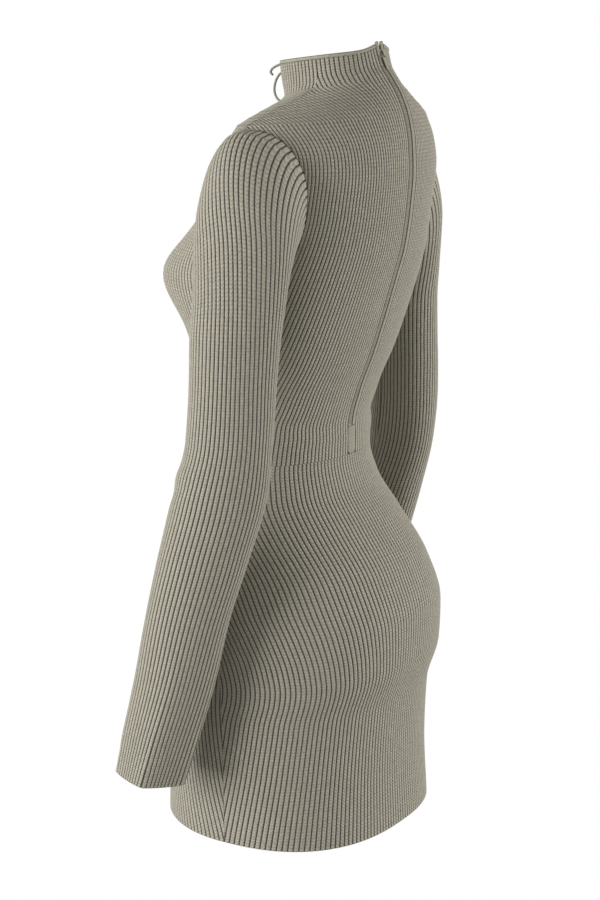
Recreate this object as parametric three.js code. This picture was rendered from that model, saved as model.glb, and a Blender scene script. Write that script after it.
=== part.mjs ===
// Rib-knit mini dress with long sleeves, a high grown-on collar, a centre-back zip and a laced
// slit at the centre front. Millimetres, +Z up. The front faces -Y and the wearer's left is +X.
// The origin is level with the neck ends of the shoulder seams, midway between them.

import * as THREE from 'three';
import { mergeVertices } from 'three/addons/utils/BufferGeometryUtils.js';

const { degToRad } = THREE.MathUtils;

// The knit is a wall with a plain inside and ribs raised on its outer points. A column of points
// runs down each groove and each rib top; the plain inside has a column every few ribs.
const KNIT = { wall: 1.3, rib: 1.1, seamGap: 0.3, outerStep: 0.5, innerStep: 4 };

// Heights of seams and openings, as levels of the body sections below.
const LEVEL = { collarTop: 40, slitEnd: -48, waist: -377, hem: -768 };

// The armhole is an oval on the body's side. inset is the share of the quarter girth that it
// takes at its deepest, and blunt is the oval's exponent.
const ARMHOLE = { top: -32, bottom: -184, insetBack: 0.3, insetFront: 0.32, blunt: 2.4 };

// Half the opening of the laced slit at the collar top; it closes to nothing at its end.
const SLIT_GAPE = 7;

// Where the ribs start beside the centre back, clear of the zip's bands.
const ZIP_CLEAR = 9.1;

// Body sections from collar to hem. half is the half width at the side line, back and front are
// the centre lines' Y, side is the side line's Y, tilt is how far a section drops to the front,
// drop is how far it lies below its level, and squareBack and squareFront are the exponents of
// its two superellipse halves.
const SECTIONS = [
  { level: -768, half: 161, back: 61, front: -188, side: -62,
    tilt: -0.06, drop: 0, squareBack: 2.5, squareFront: 2.1 },
  { level: -700, half: 163, back: 58, front: -185, side: -62,
    tilt: -0.02, drop: 0, squareBack: 2.4, squareFront: 2.1 },
  { level: -640, half: 164, back: 61, front: -183, side: -63,
    tilt: 0, drop: 0, squareBack: 2.4, squareFront: 2.1 },
  { level: -590, half: 165, back: 75, front: -182, side: -64,
    tilt: 0, drop: 0, squareBack: 2.5, squareFront: 2.1 },
  { level: -548, half: 164, back: 77, front: -182, side: -66,
    tilt: 0, drop: 0, squareBack: 2.5, squareFront: 2.1 },
  { level: -500, half: 157, back: 63, front: -182, side: -70,
    tilt: 0, drop: 0, squareBack: 2.4, squareFront: 2.1 },
  { level: -450, half: 143, back: 33, front: -180, side: -76,
    tilt: 0, drop: 0, squareBack: 2.2, squareFront: 2.1 },
  { level: -410, half: 129, back: 8, front: -177, side: -81,
    tilt: 0, drop: 0, squareBack: 2.1, squareFront: 2.1 },
  { level: -377, half: 121, back: 0, front: -173, side: -84,
    tilt: 0, drop: 0, squareBack: 2.1, squareFront: 2.1 },
  { level: -347, half: 121, back: 0, front: -168, side: -80,
    tilt: 0, drop: 0, squareBack: 2.1, squareFront: 2.2 },
  { level: -308, half: 124, back: 9, front: -160, side: -74,
    tilt: 0, drop: 0, squareBack: 2.2, squareFront: 2.3 },
  { level: -269, half: 128, back: 24, front: -153, side: -66,
    tilt: 0, drop: 0, squareBack: 2.4, squareFront: 2.4 },
  { level: -233, half: 132, back: 36, front: -151, side: -60,
    tilt: 0, drop: 0, squareBack: 2.5, squareFront: 2.5 },
  { level: -184, half: 136, back: 51, front: -152, side: -54,
    tilt: 0, drop: 0, squareBack: 2.6, squareFront: 2.6 },
  { level: -152, half: 138, back: 60, front: -145, side: -50,
    tilt: 0, drop: 0, squareBack: 2.5, squareFront: 2.5 },
  { level: -110, half: 142, back: 66, front: -129, side: -45,
    tilt: 0, drop: 0, squareBack: 2.4, squareFront: 2.4 },
  { level: -77, half: 147, back: 68.5, front: -112, side: -41,
    tilt: 0, drop: 0, squareBack: 2.4, squareFront: 2.3 },
  { level: -50, half: 151, back: 67, front: -98, side: -39,
    tilt: 0.04, drop: 0, squareBack: 2.15, squareFront: 2.2 },
  { level: -32, half: 151, back: 63, front: -88, side: -38,
    tilt: 0.08, drop: 0, squareBack: 1.9, squareFront: 2 },
  { level: -14, half: 107, back: 55.5, front: -77, side: -28,
    tilt: 0.13, drop: 0, squareBack: 1.8, squareFront: 2 },
  { level: 0, half: 65, back: 47, front: -69, side: -16,
    tilt: 0.18, drop: 0, squareBack: 1.9, squareFront: 2 },
  { level: 5, half: 55, back: 44, front: -68, side: -13,
    tilt: 0.19, drop: 0, squareBack: 2.1, squareFront: 2 },
  { level: 20, half: 52, back: 36, front: -71, side: -11,
    tilt: 0.15, drop: 2.2, squareBack: 2.3, squareFront: 2.1 },
  { level: 40, half: 53, back: 30, front: -74, side: -11,
    tilt: 0.12, drop: 4.5, squareBack: 2.4, squareFront: 2.1 },
];

// The collar rises to a peak at the centre back, in shares of its drop.
const PEAK = { share: 1.4, wide: 22 };

// The soft forms that the flat panels are shaped round.
const MOUNDS = [
  { x: 71, level: -189, wide: 48, high: 48, out: -37 },
];

// Sections of the left sleeve, which are level rings. long and short are its half axes, turn is
// the angle of the short axis from +X in degrees, and round is its exponent: under 2 it is a
// sleeve that was pressed flat and has sprung open.
const SLEEVE = [
  { level: -689, x: 220, y: -117, long: 35, short: 30, turn: 14, round: 1.2, tilt: -0.12 },
  { level: -648, x: 219, y: -106, long: 37, short: 28, turn: 16, round: 1.35, tilt: -0.1 },
  { level: -582, x: 217, y: -88, long: 39, short: 28, turn: 21, round: 1.6, tilt: -0.06 },
  { level: -518, x: 215, y: -74, long: 40.5, short: 28.5, turn: 26, round: 1.9, tilt: 0 },
  { level: -455, x: 212, y: -57, long: 43.5, short: 29, turn: 28, round: 2, tilt: 0 },
  { level: -393, x: 207, y: -41, long: 45.5, short: 29, turn: 28, round: 2, tilt: 0 },
  { level: -332, x: 201, y: -32, long: 41, short: 31, turn: 28, round: 2, tilt: 0 },
  { level: -292, x: 197, y: -31, long: 41, short: 31, turn: 27, round: 2, tilt: 0 },
  { level: -233, x: 190, y: -31, long: 43, short: 32, turn: 25, round: 2, tilt: 0 },
  { level: -194, x: 185, y: -29, long: 44.5, short: 33, turn: 20, round: 2, tilt: 0 },
  { level: -145, x: 179, y: -28, long: 48, short: 35, turn: 14, round: 2, tilt: 0 },
  { level: -100, x: 172, y: -31, long: 51, short: 36, turn: 8, round: 2, tilt: 0 },
  { level: -60, x: 166, y: -36, long: 52, short: 38, turn: 4, round: 2, tilt: 0 },
  { level: -32, x: 160, y: -41, long: 51, short: 38, turn: 0, round: 2, tilt: 0 },
];

// Rib spacing in millimetres at each level, as the knit stretches over the figure.
const RIB_PITCH = [
  { level: -768, back: 5.7, front: 5.7 },
  { level: -690, back: 5.25, front: 5.25 },
  { level: -625, back: 5.1, front: 5.1 },
  { level: -580, back: 5.35, front: 5.2 },
  { level: -520, back: 5.9, front: 5.6 },
  { level: -450, back: 5.8, front: 5.5 },
  { level: -377, back: 5, front: 5 },
  { level: -184, back: 4.3, front: 4.6 },
  { level: -110, back: 3.95, front: 4.3 },
  { level: -60, back: 3.95, front: 4.2 },
  { level: -32, back: 4.2, front: 4.2 },
  { level: 5, back: 4.7, front: 4.4 },
  { level: 40, back: 4.6, front: 4.4 },
];

// Ribs on each half of a sleeve, from its outer line round to its underarm seam. run is 0 at the
// cuff and 1 at the armhole, and even is how far the ribs are drawn in towards the outer line.
const SLEEVE_RIBS = [
  { run: 0, ribs: 22, even: 0.095 },
  { run: 0.2, ribs: 23.5, even: 0.075 },
  { run: 0.35, ribs: 25, even: 0.03 },
  { run: 0.5, ribs: 27, even: 0.02 },
  { run: 0.7, ribs: 27.5, even: 0.055 },
  { run: 0.85, ribs: 28.5, even: 0.08 },
  { run: 1, ribs: 31, even: 0.05 },
];

// The sleeve's rows are level up to shared, and above it they fan out to meet the armhole.
// The cap blends from the armhole into the level rings over these lengths, and blunt is how
// roundly it does so: its first value at the top and bottom, and both added at the sides.
const SLEEVE_CAP = {
  sharedRun: 0.76, sharedLevel: -232, top: 75, side: 70, bottom: 45, blunt: [0.45, 0.15],
};

// Levels of the rows of points, from each panel's lower edge to its upper edge.
const ROWS = {
  skirtBack: [-768, -668, -606, -545, -468, -377],
  skirtFront: [-768, -668, -580, -490, -377],
  bodiceBack: [-377, -300, -225, -155, -95, -48, -24, 3, 40],
  bodiceFront: [-377, -300, -228, -189, -150, -100, -48, -24, 3, 40],
  sleeve: [0, 0.28, 0.54, 0.76, 0.88, 0.95, 0.985, 1],
  skirtSeam: [-768, -726, -668, -624, -580, -535, -490, -450, -412, -377],
  sideSeam: [-377, -362, -348, -320, -262, -215],
  armholeTurns: [
    180, 174, 167, 160, 152, 144, 136, 128, 120, 112, 104, 96, 88, 80, 72, 64, 56, 48, 40, 32, 24, 16, 8, 0,
  ],
  shoulderSeam: [-28, -20, -12, -4, 3, 9, 20, 40],
};

// Steps for reading the surfaces' directions, and the depth over which the mounds fade in.
const NORMAL_STEP = 0.5;
const SLEEVE_STEP = 0.004;
const FADE = 20;

// Width beside the armhole over which a body panel's thickness turns towards the sleeve's.
const NORMAL_BLEND = 14;

// How near an inner row may come to a column's end, as a share of the first row's height, and
// how near an edge may come to a column, in ribs.
const ROW_CLEAR = 0.06;
const COLUMN_CLEAR = 0.08;

// Ribs beside an edge whose columns follow the edge's levels.
const EDGE_RIBS = 1.6;

// A panel's edge stands half a gap off its seam line. A sleeve's stands further off, as the
// sleeve meets the body at an angle.
const SEAM = KNIT.seamGap / 2;
const SLEEVE_SEAM = 0.45;
const HOLE = { middle: (ARMHOLE.top + ARMHOLE.bottom) / 2, half: (ARMHOLE.top - ARMHOLE.bottom) / 2 };

// The binding that finishes the collar's top edge, measured up from the edge and out of the body.
const BINDING = { low: 0.3, high: 4, inner: 0, outer: 2.6, bevel: 0.8, steps: 13 };

// The bands down both sides of the zip. near and far are the distances of a band's edges from
// the centre back and from its outer line; the last rows round the band's top.
const ZIP_BAND = { outer: 8.8, near: 0.9, lift: 2.3, bevel: 0.5 };
const ZIP_LEVELS = [-347, -308, -269, -233, -200, -165, -130, -100, -72, -50, -30, -14, -2, 8, 18];
const ZIP_BAND_TOP = [
  { level: 24, near: 0.9, far: 0 },
  { level: 27, near: 2.3, far: 0 },
  { level: 34, near: 2.3, far: 0 },
  { level: 42, near: 2.3, far: 0 },
  { level: 44.6, near: 2.9, far: 0.9 },
  { level: 45.6, near: 3.9, far: 2.2 },
];

// Strips across the centre back, with the levels of their ends and their lifts from the body.
const ZIP_TAPE = { top: 42, half: 8, low: -1.4, high: -0.4, bevel: 0.2 };
const ZIP_TEETH = { top: 27, half: 0.55, low: -0.1, high: 0.8, bevel: 0.2 };
const ZIP_END_TAB = { low: 0, high: 2.3, bevel: 0.5 };
const ZIP_END_TAB_ROWS = [
  { level: -375.5, half: 6.4 },
  { level: -374.4, half: 8 },
  { level: -372.4, half: 8.8 },
  { level: -347.6, half: 8.8 },
];

// The zip's slider, seen from its side: a plate with an arch that holds the pull tab.
const SLIDER = {
  level: 33,
  width: 3.8,
  half: 4.5,
  low: 0.1,
  top: 1.8,
  archHalf: 2.6,
  archTop: 5.5,
  holeHalf: 1.9,
  holeTop: 4.8,
  chamfer: 0.5,
  pivot: 3.3,
};

// The pull tab, measured from its pivot: a plate with a rounded end and a window for the arch.
// It hangs at rest degrees off the slider's plate, just clear of the bands under it.
const PULL_TAB = {
  half: 3,
  endHalf: 2.4,
  top: 0.7,
  shoulder: 6,
  length: 19,
  windowHalf: 2.2,
  windowTop: -0.7,
  windowEnd: -5,
  thick: 1,
  rest: 6,
};

// The slit's lace: sewn inside the slit's left edge, out round the front, back in and out over
// the collar's edge to its free end.
const LACE = { radius: 1.3, sides: 8, steps: 36 };
const LACE_ROUTE = [
  { x: 9.5, y: -74.56, z: -19 },
  { x: 5, y: -70.6, z: -16 },
  { x: 1.4, y: -69, z: -13 },
  { x: 0.8, y: -77, z: -11 },
  { x: 0.2, y: -85.5, z: -8.6 },
  { x: -1, y: -90.2, z: -2 },
  { x: -2, y: -91, z: 5 },
  { x: -3, y: -88.5, z: 13.5 },
  { x: -3.6, y: -82.8, z: 19.6 },
  { x: -4, y: -75, z: 21.5 },
  { x: -3.6, y: -67, z: 20.5 },
  { x: 0, y: -62.5, z: 21.5 },
  { x: 3.6, y: -66, z: 25.5 },
  { x: 4, y: -74, z: 29 },
  { x: 4, y: -82, z: 27.5 },
  { x: 4, y: -90.5, z: 23.2 },
  { x: 4, y: -92.4, z: 19.6 },
  { x: 4, y: -89.6, z: 16.6 },
];

// Finishes of the ribbed knit, its smooth trims, the zip's parts and the enamelled slider.
const FINISH = {
  knit: { color: '#8a8578', roughness: 0.95, metalness: 0 },
  trim: { color: '#928d80', roughness: 0.9, metalness: 0 },
  tape: { color: '#7d786c', roughness: 0.9, metalness: 0 },
  teeth: { color: '#7d786c', roughness: 0.6, metalness: 0 },
  enamel: { color: '#8b8679', roughness: 0.4, metalness: 0.3 },
};

// Smooth, shape-keeping curve through the rows of a table, read at one key.
function readTable(table, key, at) {
  const last = table.length - 1;
  const found = table.findIndex((row) => row[key] > at);
  const i = Math.min(found < 0 ? last - 1 : Math.max(found - 1, 0), last - 1);
  const place = Math.min(Math.max(at, table[0][key]), table[last][key]);
  const slope = (j, field) => (table[j + 1][field] - table[j][field]) / (table[j + 1][key] - table[j][key]);
  const tangent = (j, field) => {
    if (j === 0) return slope(0, field);
    if (j === last) return slope(last - 1, field);
    const before = slope(j - 1, field);
    const after = slope(j, field);
    return before * after <= 0 ? 0 : (2 * before * after) / (before + after);
  };
  const span = table[i + 1][key] - table[i][key];
  const u = (place - table[i][key]) / span;
  const value = {};
  for (const field of Object.keys(table[i])) {
    value[field] = (2 * u ** 3 - 3 * u * u + 1) * table[i][field]
      + (u ** 3 - 2 * u * u + u) * span * tangent(i, field)
      + (3 * u * u - 2 * u ** 3) * table[i + 1][field]
      + (u ** 3 - u * u) * span * tangent(i + 1, field);
  }
  return value;
}

// A point of a superellipse with half axes 1, at an angle from its first axis.
function superellipse(angle, exponent) {
  const along = Math.cos(angle);
  const across = Math.sin(angle);
  const reach = (Math.abs(along) ** exponent + Math.abs(across) ** exponent) ** (-1 / exponent);
  return [along * reach, across * reach];
}

// A level's section with its lengths of girth, from the centre back to each of its samples.
const SAMPLES = 128;
const girths = new Map();
function girthAt(level) {
  const key = Math.round(level * 1e4);
  if (girths.has(key)) return girths.get(key);
  const section = readTable(SECTIONS, 'level', level);
  const points = [];
  const lengths = [0];
  for (let i = 0; i <= SAMPLES; i += 1) {
    const angle = (Math.PI * i) / SAMPLES;
    const isBack = 2 * i <= SAMPLES;
    const [along, across] = superellipse(angle, isBack ? section.squareBack : section.squareFront);
    const depth = isBack ? section.back - section.side : section.side - section.front;
    points.push([section.half * across, section.side + depth * along]);
    if (i > 0) {
      const [x, y] = points[i - 1];
      lengths.push(lengths[i - 1] + Math.hypot(points[i][0] - x, points[i][1] - y));
    }
  }
  const girth = { section, points, lengths, back: lengths[SAMPLES / 2] };
  girth.front = lengths[SAMPLES] - girth.back;
  girths.set(key, girth);
  return girth;
}

// A point of the body's surface. along is the length of girth from the centre back or the
// centre front towards the left side; a negative one lies on the right.
function bodyPoint(centre, along, level) {
  const girth = girthAt(level);
  const total = girth.lengths[SAMPLES];
  const mirror = along < 0 ? -1 : 1;
  const length = centre === 'back' ? Math.abs(along) : total - Math.abs(along);
  let i = 1;
  while (i < SAMPLES && girth.lengths[i] < length) i += 1;
  const u = (length - girth.lengths[i - 1]) / (girth.lengths[i] - girth.lengths[i - 1]);
  const [x0, y0] = girth.points[i - 1];
  const [x1, y1] = girth.points[i];
  const x = x0 + (x1 - x0) * u;
  const y = y0 + (y1 - y0) * u;
  const { side, tilt, drop } = girth.section;
  const peak = y > side ? PEAK.share * Math.exp(-((x / PEAK.wide) ** 2)) : 0;
  const z = level + tilt * (y - side) + drop * (peak - 1);
  let out = 0;
  if (y < side) {
    for (const form of MOUNDS) {
      out += form.out * Math.exp(-(((x - form.x) / form.wide) ** 2) - ((z - form.level) / form.high) ** 2);
    }
    out *= Math.min(1, (side - y) / FADE);
  }
  return new THREE.Vector3(mirror * x, y + out, z);
}

// The outward normal of a surface given as a function of two numbers.
function normalOf(surface, u, v, du, dv) {
  const across = surface(u + du, v).sub(surface(u - du, v));
  const up = surface(u, v + dv).sub(surface(u, v - dv));
  return across.cross(up).normalize();
}

// The body's outward normal. The girth runs the other way round from the centre front.
function bodyNormal(centre, along, level) {
  const surface = (a, l) => bodyPoint(centre, a, l);
  const top = LEVEL.collarTop - NORMAL_STEP;
  const normal = normalOf(surface, along, Math.min(level, top), NORMAL_STEP, NORMAL_STEP);
  return centre === 'back' ? normal.negate() : normal;
}

// The share of the quarter girth that a body panel reaches at a level.
function armholeShare(centre, level, grow) {
  const u = Math.min(Math.abs((level - HOLE.middle) / (HOLE.half + grow)), 1);
  const inset = centre === 'back' ? ARMHOLE.insetBack : ARMHOLE.insetFront;
  return 1 - inset * Math.sqrt(1 - u ** ARMHOLE.blunt);
}

// Length of girth from the centre line to a body panel's side edge.
function edgeAlong(centre, level) {
  return armholeShare(centre, level, SEAM) * girthAt(level)[centre] - SEAM;
}

// A point of the armhole's edge on the sleeve's side, at a turn from the shoulder round the back.
function armholePoint(turn) {
  const centre = Math.sin(turn) >= 0 ? 'back' : 'front';
  const level = HOLE.middle + (HOLE.half - SLEEVE_SEAM) * Math.cos(turn);
  const share = armholeShare(centre, level, -SLEEVE_SEAM);
  const along = share * girthAt(level)[centre] + SLEEVE_SEAM * Math.abs(Math.sin(turn));
  return { centre, level, along, point: bodyPoint(centre, along, level) };
}

// A point of the left sleeve. turn is 0 on its outer line, a quarter turn at the back and a half
// turn under the arm; run is 0 at the cuff and 1 at the armhole.
function sleevePoint(turn, run) {
  const hole = armholePoint(turn);
  const { sharedRun, sharedLevel, top, side, bottom, blunt } = SLEEVE_CAP;
  const cuff = SLEEVE[0].level;
  const level = run <= sharedRun
    ? cuff + ((sharedLevel - cuff) * run) / sharedRun
    : sharedLevel + ((hole.level - sharedLevel) * (run - sharedRun)) / (1 - sharedRun);
  const ring = ringPoint(turn, level);
  const high = Math.cos(turn);
  const blend = high > 0 ? side + (top - side) * high : side + (bottom - side) * high * high;
  const drop = Math.min(Math.max((hole.level - level) / blend, 0), 1);
  const bluntness = blunt[0] + blunt[1] * Math.sin(turn) ** 2;
  const pull = 1 - (1 - (1 - drop) ** 2) ** bluntness;
  return ring.addScaledVector(hole.point.clone().sub(ringPoint(turn, hole.level)), pull);
}

function ringPoint(turn, level) {
  const ring = readTable(SLEEVE, 'level', level);
  const [outward, backward] = superellipse(turn, ring.round);
  const angle = degToRad(ring.turn);
  const u = ring.short * outward;
  const v = ring.long * backward;
  const dx = u * Math.cos(angle) - v * Math.sin(angle);
  const dy = u * Math.sin(angle) + v * Math.cos(angle);
  return new THREE.Vector3(ring.x + dx, ring.y + dy, level + ring.tilt * dy);
}

function sleeveNormal(turn, run) {
  const inside = Math.min(Math.max(run, SLEEVE_STEP), 1 - 2 * SLEEVE_STEP);
  return normalOf(sleevePoint, turn, inside, SLEEVE_STEP, SLEEVE_STEP);
}

// Body panel and sleeve share one direction of thickness along the armhole, so that their edges
// stay parallel.
function armholeNormal(turn) {
  const hole = armholePoint(turn);
  return bodyNormal(hole.centre, hole.along, hole.level).add(sleeveNormal(turn, 1)).normalize();
}

// Moves an edge's rib number off the nearest column.
function clearOfColumns(rib) {
  const column = Math.round(rib / KNIT.outerStep) * KNIT.outerStep;
  const off = rib - column;
  return Math.abs(off) < COLUMN_CLEAR ? column + (off < 0 ? -COLUMN_CLEAR : COLUMN_CLEAR) : rib;
}

// Height of the rib relief at a rib number: 0 in a groove and 1 on a rib's top.
function relief(rib) {
  const across = Math.abs(rib - Math.floor(rib) - 0.5);
  return 1 - 2 * across;
}

// A closed body, gathered point by point; each point is named, so that faces share it.
class Body {
  constructor() {
    this.places = new Map();
    this.points = [];
    this.faces = [];
  }

  point(key, position) {
    if (!this.places.has(key)) {
      this.places.set(key, this.points.length);
      this.points.push(position());
    }
    return this.places.get(key);
  }

  face(a, b, c) {
    if (a !== b && b !== c && a !== c) this.faces.push([a, b, c]);
  }

  geometry() {
    let volume = 0;
    for (const [a, b, c] of this.faces) {
      volume += this.points[a].dot(this.points[b].clone().cross(this.points[c]));
    }
    const faces = volume < 0 ? this.faces.map(([a, b, c]) => [a, c, b]) : this.faces;
    const geometry = new THREE.BufferGeometry();
    const positions = this.points.flatMap((point) => point.toArray());
    geometry.setAttribute('position', new THREE.Float32BufferAttribute(positions, 3));
    geometry.setIndex(faces.flat());
    geometry.computeVertexNormals();
    return geometry;
  }
}

// Triangles between two chains of knots, each sorted by its measure.
function zip(left, right, measure, takeLeft, takeRight) {
  let i = 0;
  let j = 0;
  while (i < left.length - 1 || j < right.length - 1) {
    const leftStep = i < left.length - 1 ? Math.abs(measure(left[i + 1]) - measure(right[j])) : Infinity;
    const rightStep = j < right.length - 1 ? Math.abs(measure(right[j + 1]) - measure(left[i])) : Infinity;
    if (leftStep <= rightStep) {
      takeLeft(left[i], right[j], left[i + 1]);
      i += 1;
    } else {
      takeRight(left[i], right[j], right[j + 1]);
      j += 1;
    }
  }
}

// Columns of knots on a panel that lies between rib 0 and an edge. The edge is a chain of knots
// from the panel's lower row to its upper row, and each column is cut where the edge crosses it.
// A column close beside the edge takes the edge's levels too.
function layOut(step, rows, edge) {
  const seam = [edge[0]];
  for (let i = 1; i < edge.length; i += 1) {
    const [a, b] = [edge[i - 1], edge[i]];
    const crossings = [];
    for (let rib = 0; rib < Math.max(a.rib, b.rib); rib += step) {
      if (rib > Math.min(a.rib, b.rib)) {
        const level = a.level + ((b.level - a.level) * (rib - a.rib)) / (b.rib - a.rib);
        crossings.push({ rib, level, isEdge: true });
      }
    }
    crossings.sort((p, q) => p.level - q.level);
    seam.push(...crossings, b);
  }
  const bottom = rows[0];
  const top = rows[rows.length - 1];
  const columns = [];
  for (let rib = 0; rib < Math.max(...edge.map((knot) => knot.rib)); rib += step) {
    const runs = [];
    let open = rib < edge[0].rib ? { start: -1, knots: [{ rib, level: bottom }] } : null;
    seam.forEach((knot, index) => {
      if (knot.rib !== rib) return;
      if (open) {
        runs.push({ ...open, end: index, last: knot });
        open = null;
      } else {
        open = { start: index, knots: [knot] };
      }
    });
    if (open) runs.push({ ...open, end: seam.length, last: { rib, level: top } });
    for (const run of runs) {
      const clear = (rows[1] - rows[0]) * ROW_CLEAR;
      const low = run.knots[0].level + clear;
      const high = run.last.level - clear;
      const beside = edge.filter((knot) => Math.abs(knot.rib - rib) < EDGE_RIBS).map((knot) => knot.level);
      const inner = rows.filter((level) => beside.every((other) => Math.abs(other - level) > clear));
      inner.push(...beside);
      inner.sort((a, b) => a - b);
      const between = inner.filter((level) => level > low && level < high);
      run.knots.push(...between.map((level) => ({ rib, level })));
      run.knots.push(run.last);
    }
    columns.push(runs);
  }
  return { seam, columns };
}

// The chain of knots to the right of a run: stretches of the seam and the next column's runs.
function rightOf(run, nextRuns, seam) {
  const chain = [];
  let from = run.start;
  for (const next of nextRuns) {
    if (next.knots[0].level < run.knots[0].level || next.last.level > run.last.level) continue;
    if (next.start > from) chain.push(...seam.slice(from + 1, next.start));
    chain.push(...next.knots);
    from = next.end;
  }
  if (from < seam.length) chain.push(...seam.slice(from + 1, run.end));
  return chain;
}

// Adds one skin of a panel half to a body and returns its edges.
function addSkin(body, { seam, columns }, place, isFlipped) {
  const add = (a, b, c) => {
    const [second, third] = isFlipped ? [c, b] : [b, c];
    body.face(place(a), place(second), place(third));
  };
  columns.forEach((runs, index) => {
    for (const run of runs) {
      const right = rightOf(run, columns[index + 1] ?? [], seam);
      if (right.length > 0) zip(run.knots, right, (knot) => knot.level, add, add);
    }
  });
  const low = columns.filter((runs) => runs[0]?.start === -1).map((runs) => runs[0].knots[0]);
  const high = columns.filter((runs) => runs.at(-1)?.end === seam.length).map((runs) => runs.at(-1).last);
  return {
    bottom: [...low, seam[0]],
    seam,
    top: [...high, seam.at(-1)],
    centre: columns[0][0].knots,
  };
}

// Adds the strip of wall between an outer edge and an inner edge that run the same way.
function addWall(body, outer, inner, measure, placeOuter, placeInner, isFlipped) {
  const add = (a, b, c) => (isFlipped ? body.face(a, c, b) : body.face(a, b, c));
  zip(
    outer,
    inner,
    measure,
    (a, b, next) => add(placeOuter(next), placeOuter(a), placeInner(b)),
    (a, b, next) => add(placeOuter(a), placeInner(b), placeInner(next)),
  );
}

// Adds half of a ribbed panel, with a wall along each edge that isn't joined to another half.
function addHalf(body, { half, rows, edge, surface, isShared, walls, isMirrored }) {
  const place = (skin) => (knot) => {
    const lift = skin === 'outer' ? KNIT.wall + KNIT.rib * relief(knot.rib) : 0;
    const name = isShared(knot) ? 'shared' : half;
    const place = `${knot.rib.toFixed(3)} ${knot.level.toFixed(4)} ${knot.isEdge ? 'edge' : ''}`;
    const key = `${skin} ${name} ${place}`;
    return body.point(key, () => surface(knot, lift));
  };
  const outer = addSkin(body, layOut(KNIT.outerStep, rows, edge), place('outer'), isMirrored);
  const inner = addSkin(body, layOut(KNIT.innerStep, rows, edge), place('inner'), !isMirrored);
  const byRib = (knot) => knot.rib;
  const byLevel = (knot) => knot.level;
  const join = (a, b, measure) => addWall(body, a, b, measure, place('outer'), place('inner'), isMirrored);
  const reverse = (chain) => [...chain].reverse();
  if (walls.bottom) join(outer.bottom, inner.bottom, byRib);
  if (walls.seam) join(outer.seam, inner.seam, byLevel);
  if (walls.top) join(reverse(outer.top), reverse(inner.top), byRib);
  if (walls.centreFrom !== undefined) {
    const open = (chain) => reverse(chain.filter((knot) => knot.level >= walls.centreFrom));
    join(open(outer.centre), open(inner.centre), byLevel);
  }
}

function flip(point) {
  return new THREE.Vector3(-point.x, point.y, point.z);
}

// Half the slit's opening at a level of the front.
function slitGape(level) {
  return (SLIT_GAPE * Math.max(0, level - LEVEL.slitEnd)) / (LEVEL.collarTop - LEVEL.slitEnd);
}

// Half of a body panel: start gives the girth from the centre line to the first rib at a level.
function bodyHalf(centre, side, start, rows, seamLevels) {
  const pitch = (level) => readTable(RIB_PITCH, 'level', level)[centre];
  const ribAt = (level) => clearOfColumns((edgeAlong(centre, level) - start(level)) / pitch(level));
  const surface = ({ rib, level, isEdge }, lift) => {
    const along = isEdge ? edgeAlong(centre, level) : start(level) + rib * pitch(level);
    const height = (level - HOLE.middle) / (HOLE.half + SEAM);
    const turn = (centre === 'back' ? 1 : -1) * Math.acos(Math.min(Math.max(height, -1), 1));
    const normal = bodyNormal(centre, along, level);
    const turned = isEdge ? 1 : 1 - (edgeAlong(centre, level) - along) / NORMAL_BLEND;
    if (Math.abs(height) <= 1 && turned > 0) normal.lerp(armholeNormal(turn), turned).normalize();
    const point = bodyPoint(centre, along, level).addScaledVector(normal, lift);
    return side === 'left' ? point : flip(point);
  };
  return {
    half: side,
    rows,
    edge: seamLevels.map((level) => ({ rib: ribAt(level), level, isEdge: true })),
    surface,
    isMirrored: side === 'right',
  };
}

const raised = ([first, ...rest]) => [first + SEAM, ...rest];
const lowered = (levels) => [...levels.slice(0, -1), levels.at(-1) - SEAM];
const skirtSeam = lowered(ROWS.skirtSeam);
const bodiceSeam = [
  ...raised(ROWS.sideSeam),
  ...ROWS.armholeTurns.map((turn) => HOLE.middle + (HOLE.half + SEAM) * Math.cos(degToRad(turn))),
  ...ROWS.shoulderSeam,
];

function backPanel(side) {
  const body = new Body();
  addHalf(body, {
    ...bodyHalf('back', side, () => ZIP_CLEAR, raised(ROWS.bodiceBack), bodiceSeam),
    isShared: () => false,
    walls: { bottom: true, seam: true, top: true, centreFrom: -Infinity },
  });
  return body;
}

function frontPanel() {
  const body = new Body();
  for (const side of ['left', 'right']) {
    addHalf(body, {
      ...bodyHalf('front', side, slitGape, raised(ROWS.bodiceFront), bodiceSeam),
      isShared: (knot) => knot.rib === 0 && knot.level <= LEVEL.slitEnd,
      walls: { bottom: true, seam: true, top: true, centreFrom: LEVEL.slitEnd },
    });
  }
  return body;
}

function skirtPanel(centre, rows) {
  const body = new Body();
  for (const side of ['left', 'right']) {
    addHalf(body, {
      ...bodyHalf(centre, side, () => 0, lowered(rows), skirtSeam),
      isShared: (knot) => knot.rib === 0,
      walls: { bottom: true, seam: true, top: true },
    });
  }
  return body;
}

// How far round its half of a sleeve a rib lies, evened out round the oval.
function turnShare(rib, run) {
  const { ribs, even } = readTable(SLEEVE_RIBS, 'run', run);
  const share = rib / ribs;
  return share - (even / Math.PI) * Math.sin(2 * Math.PI * share);
}

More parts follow.
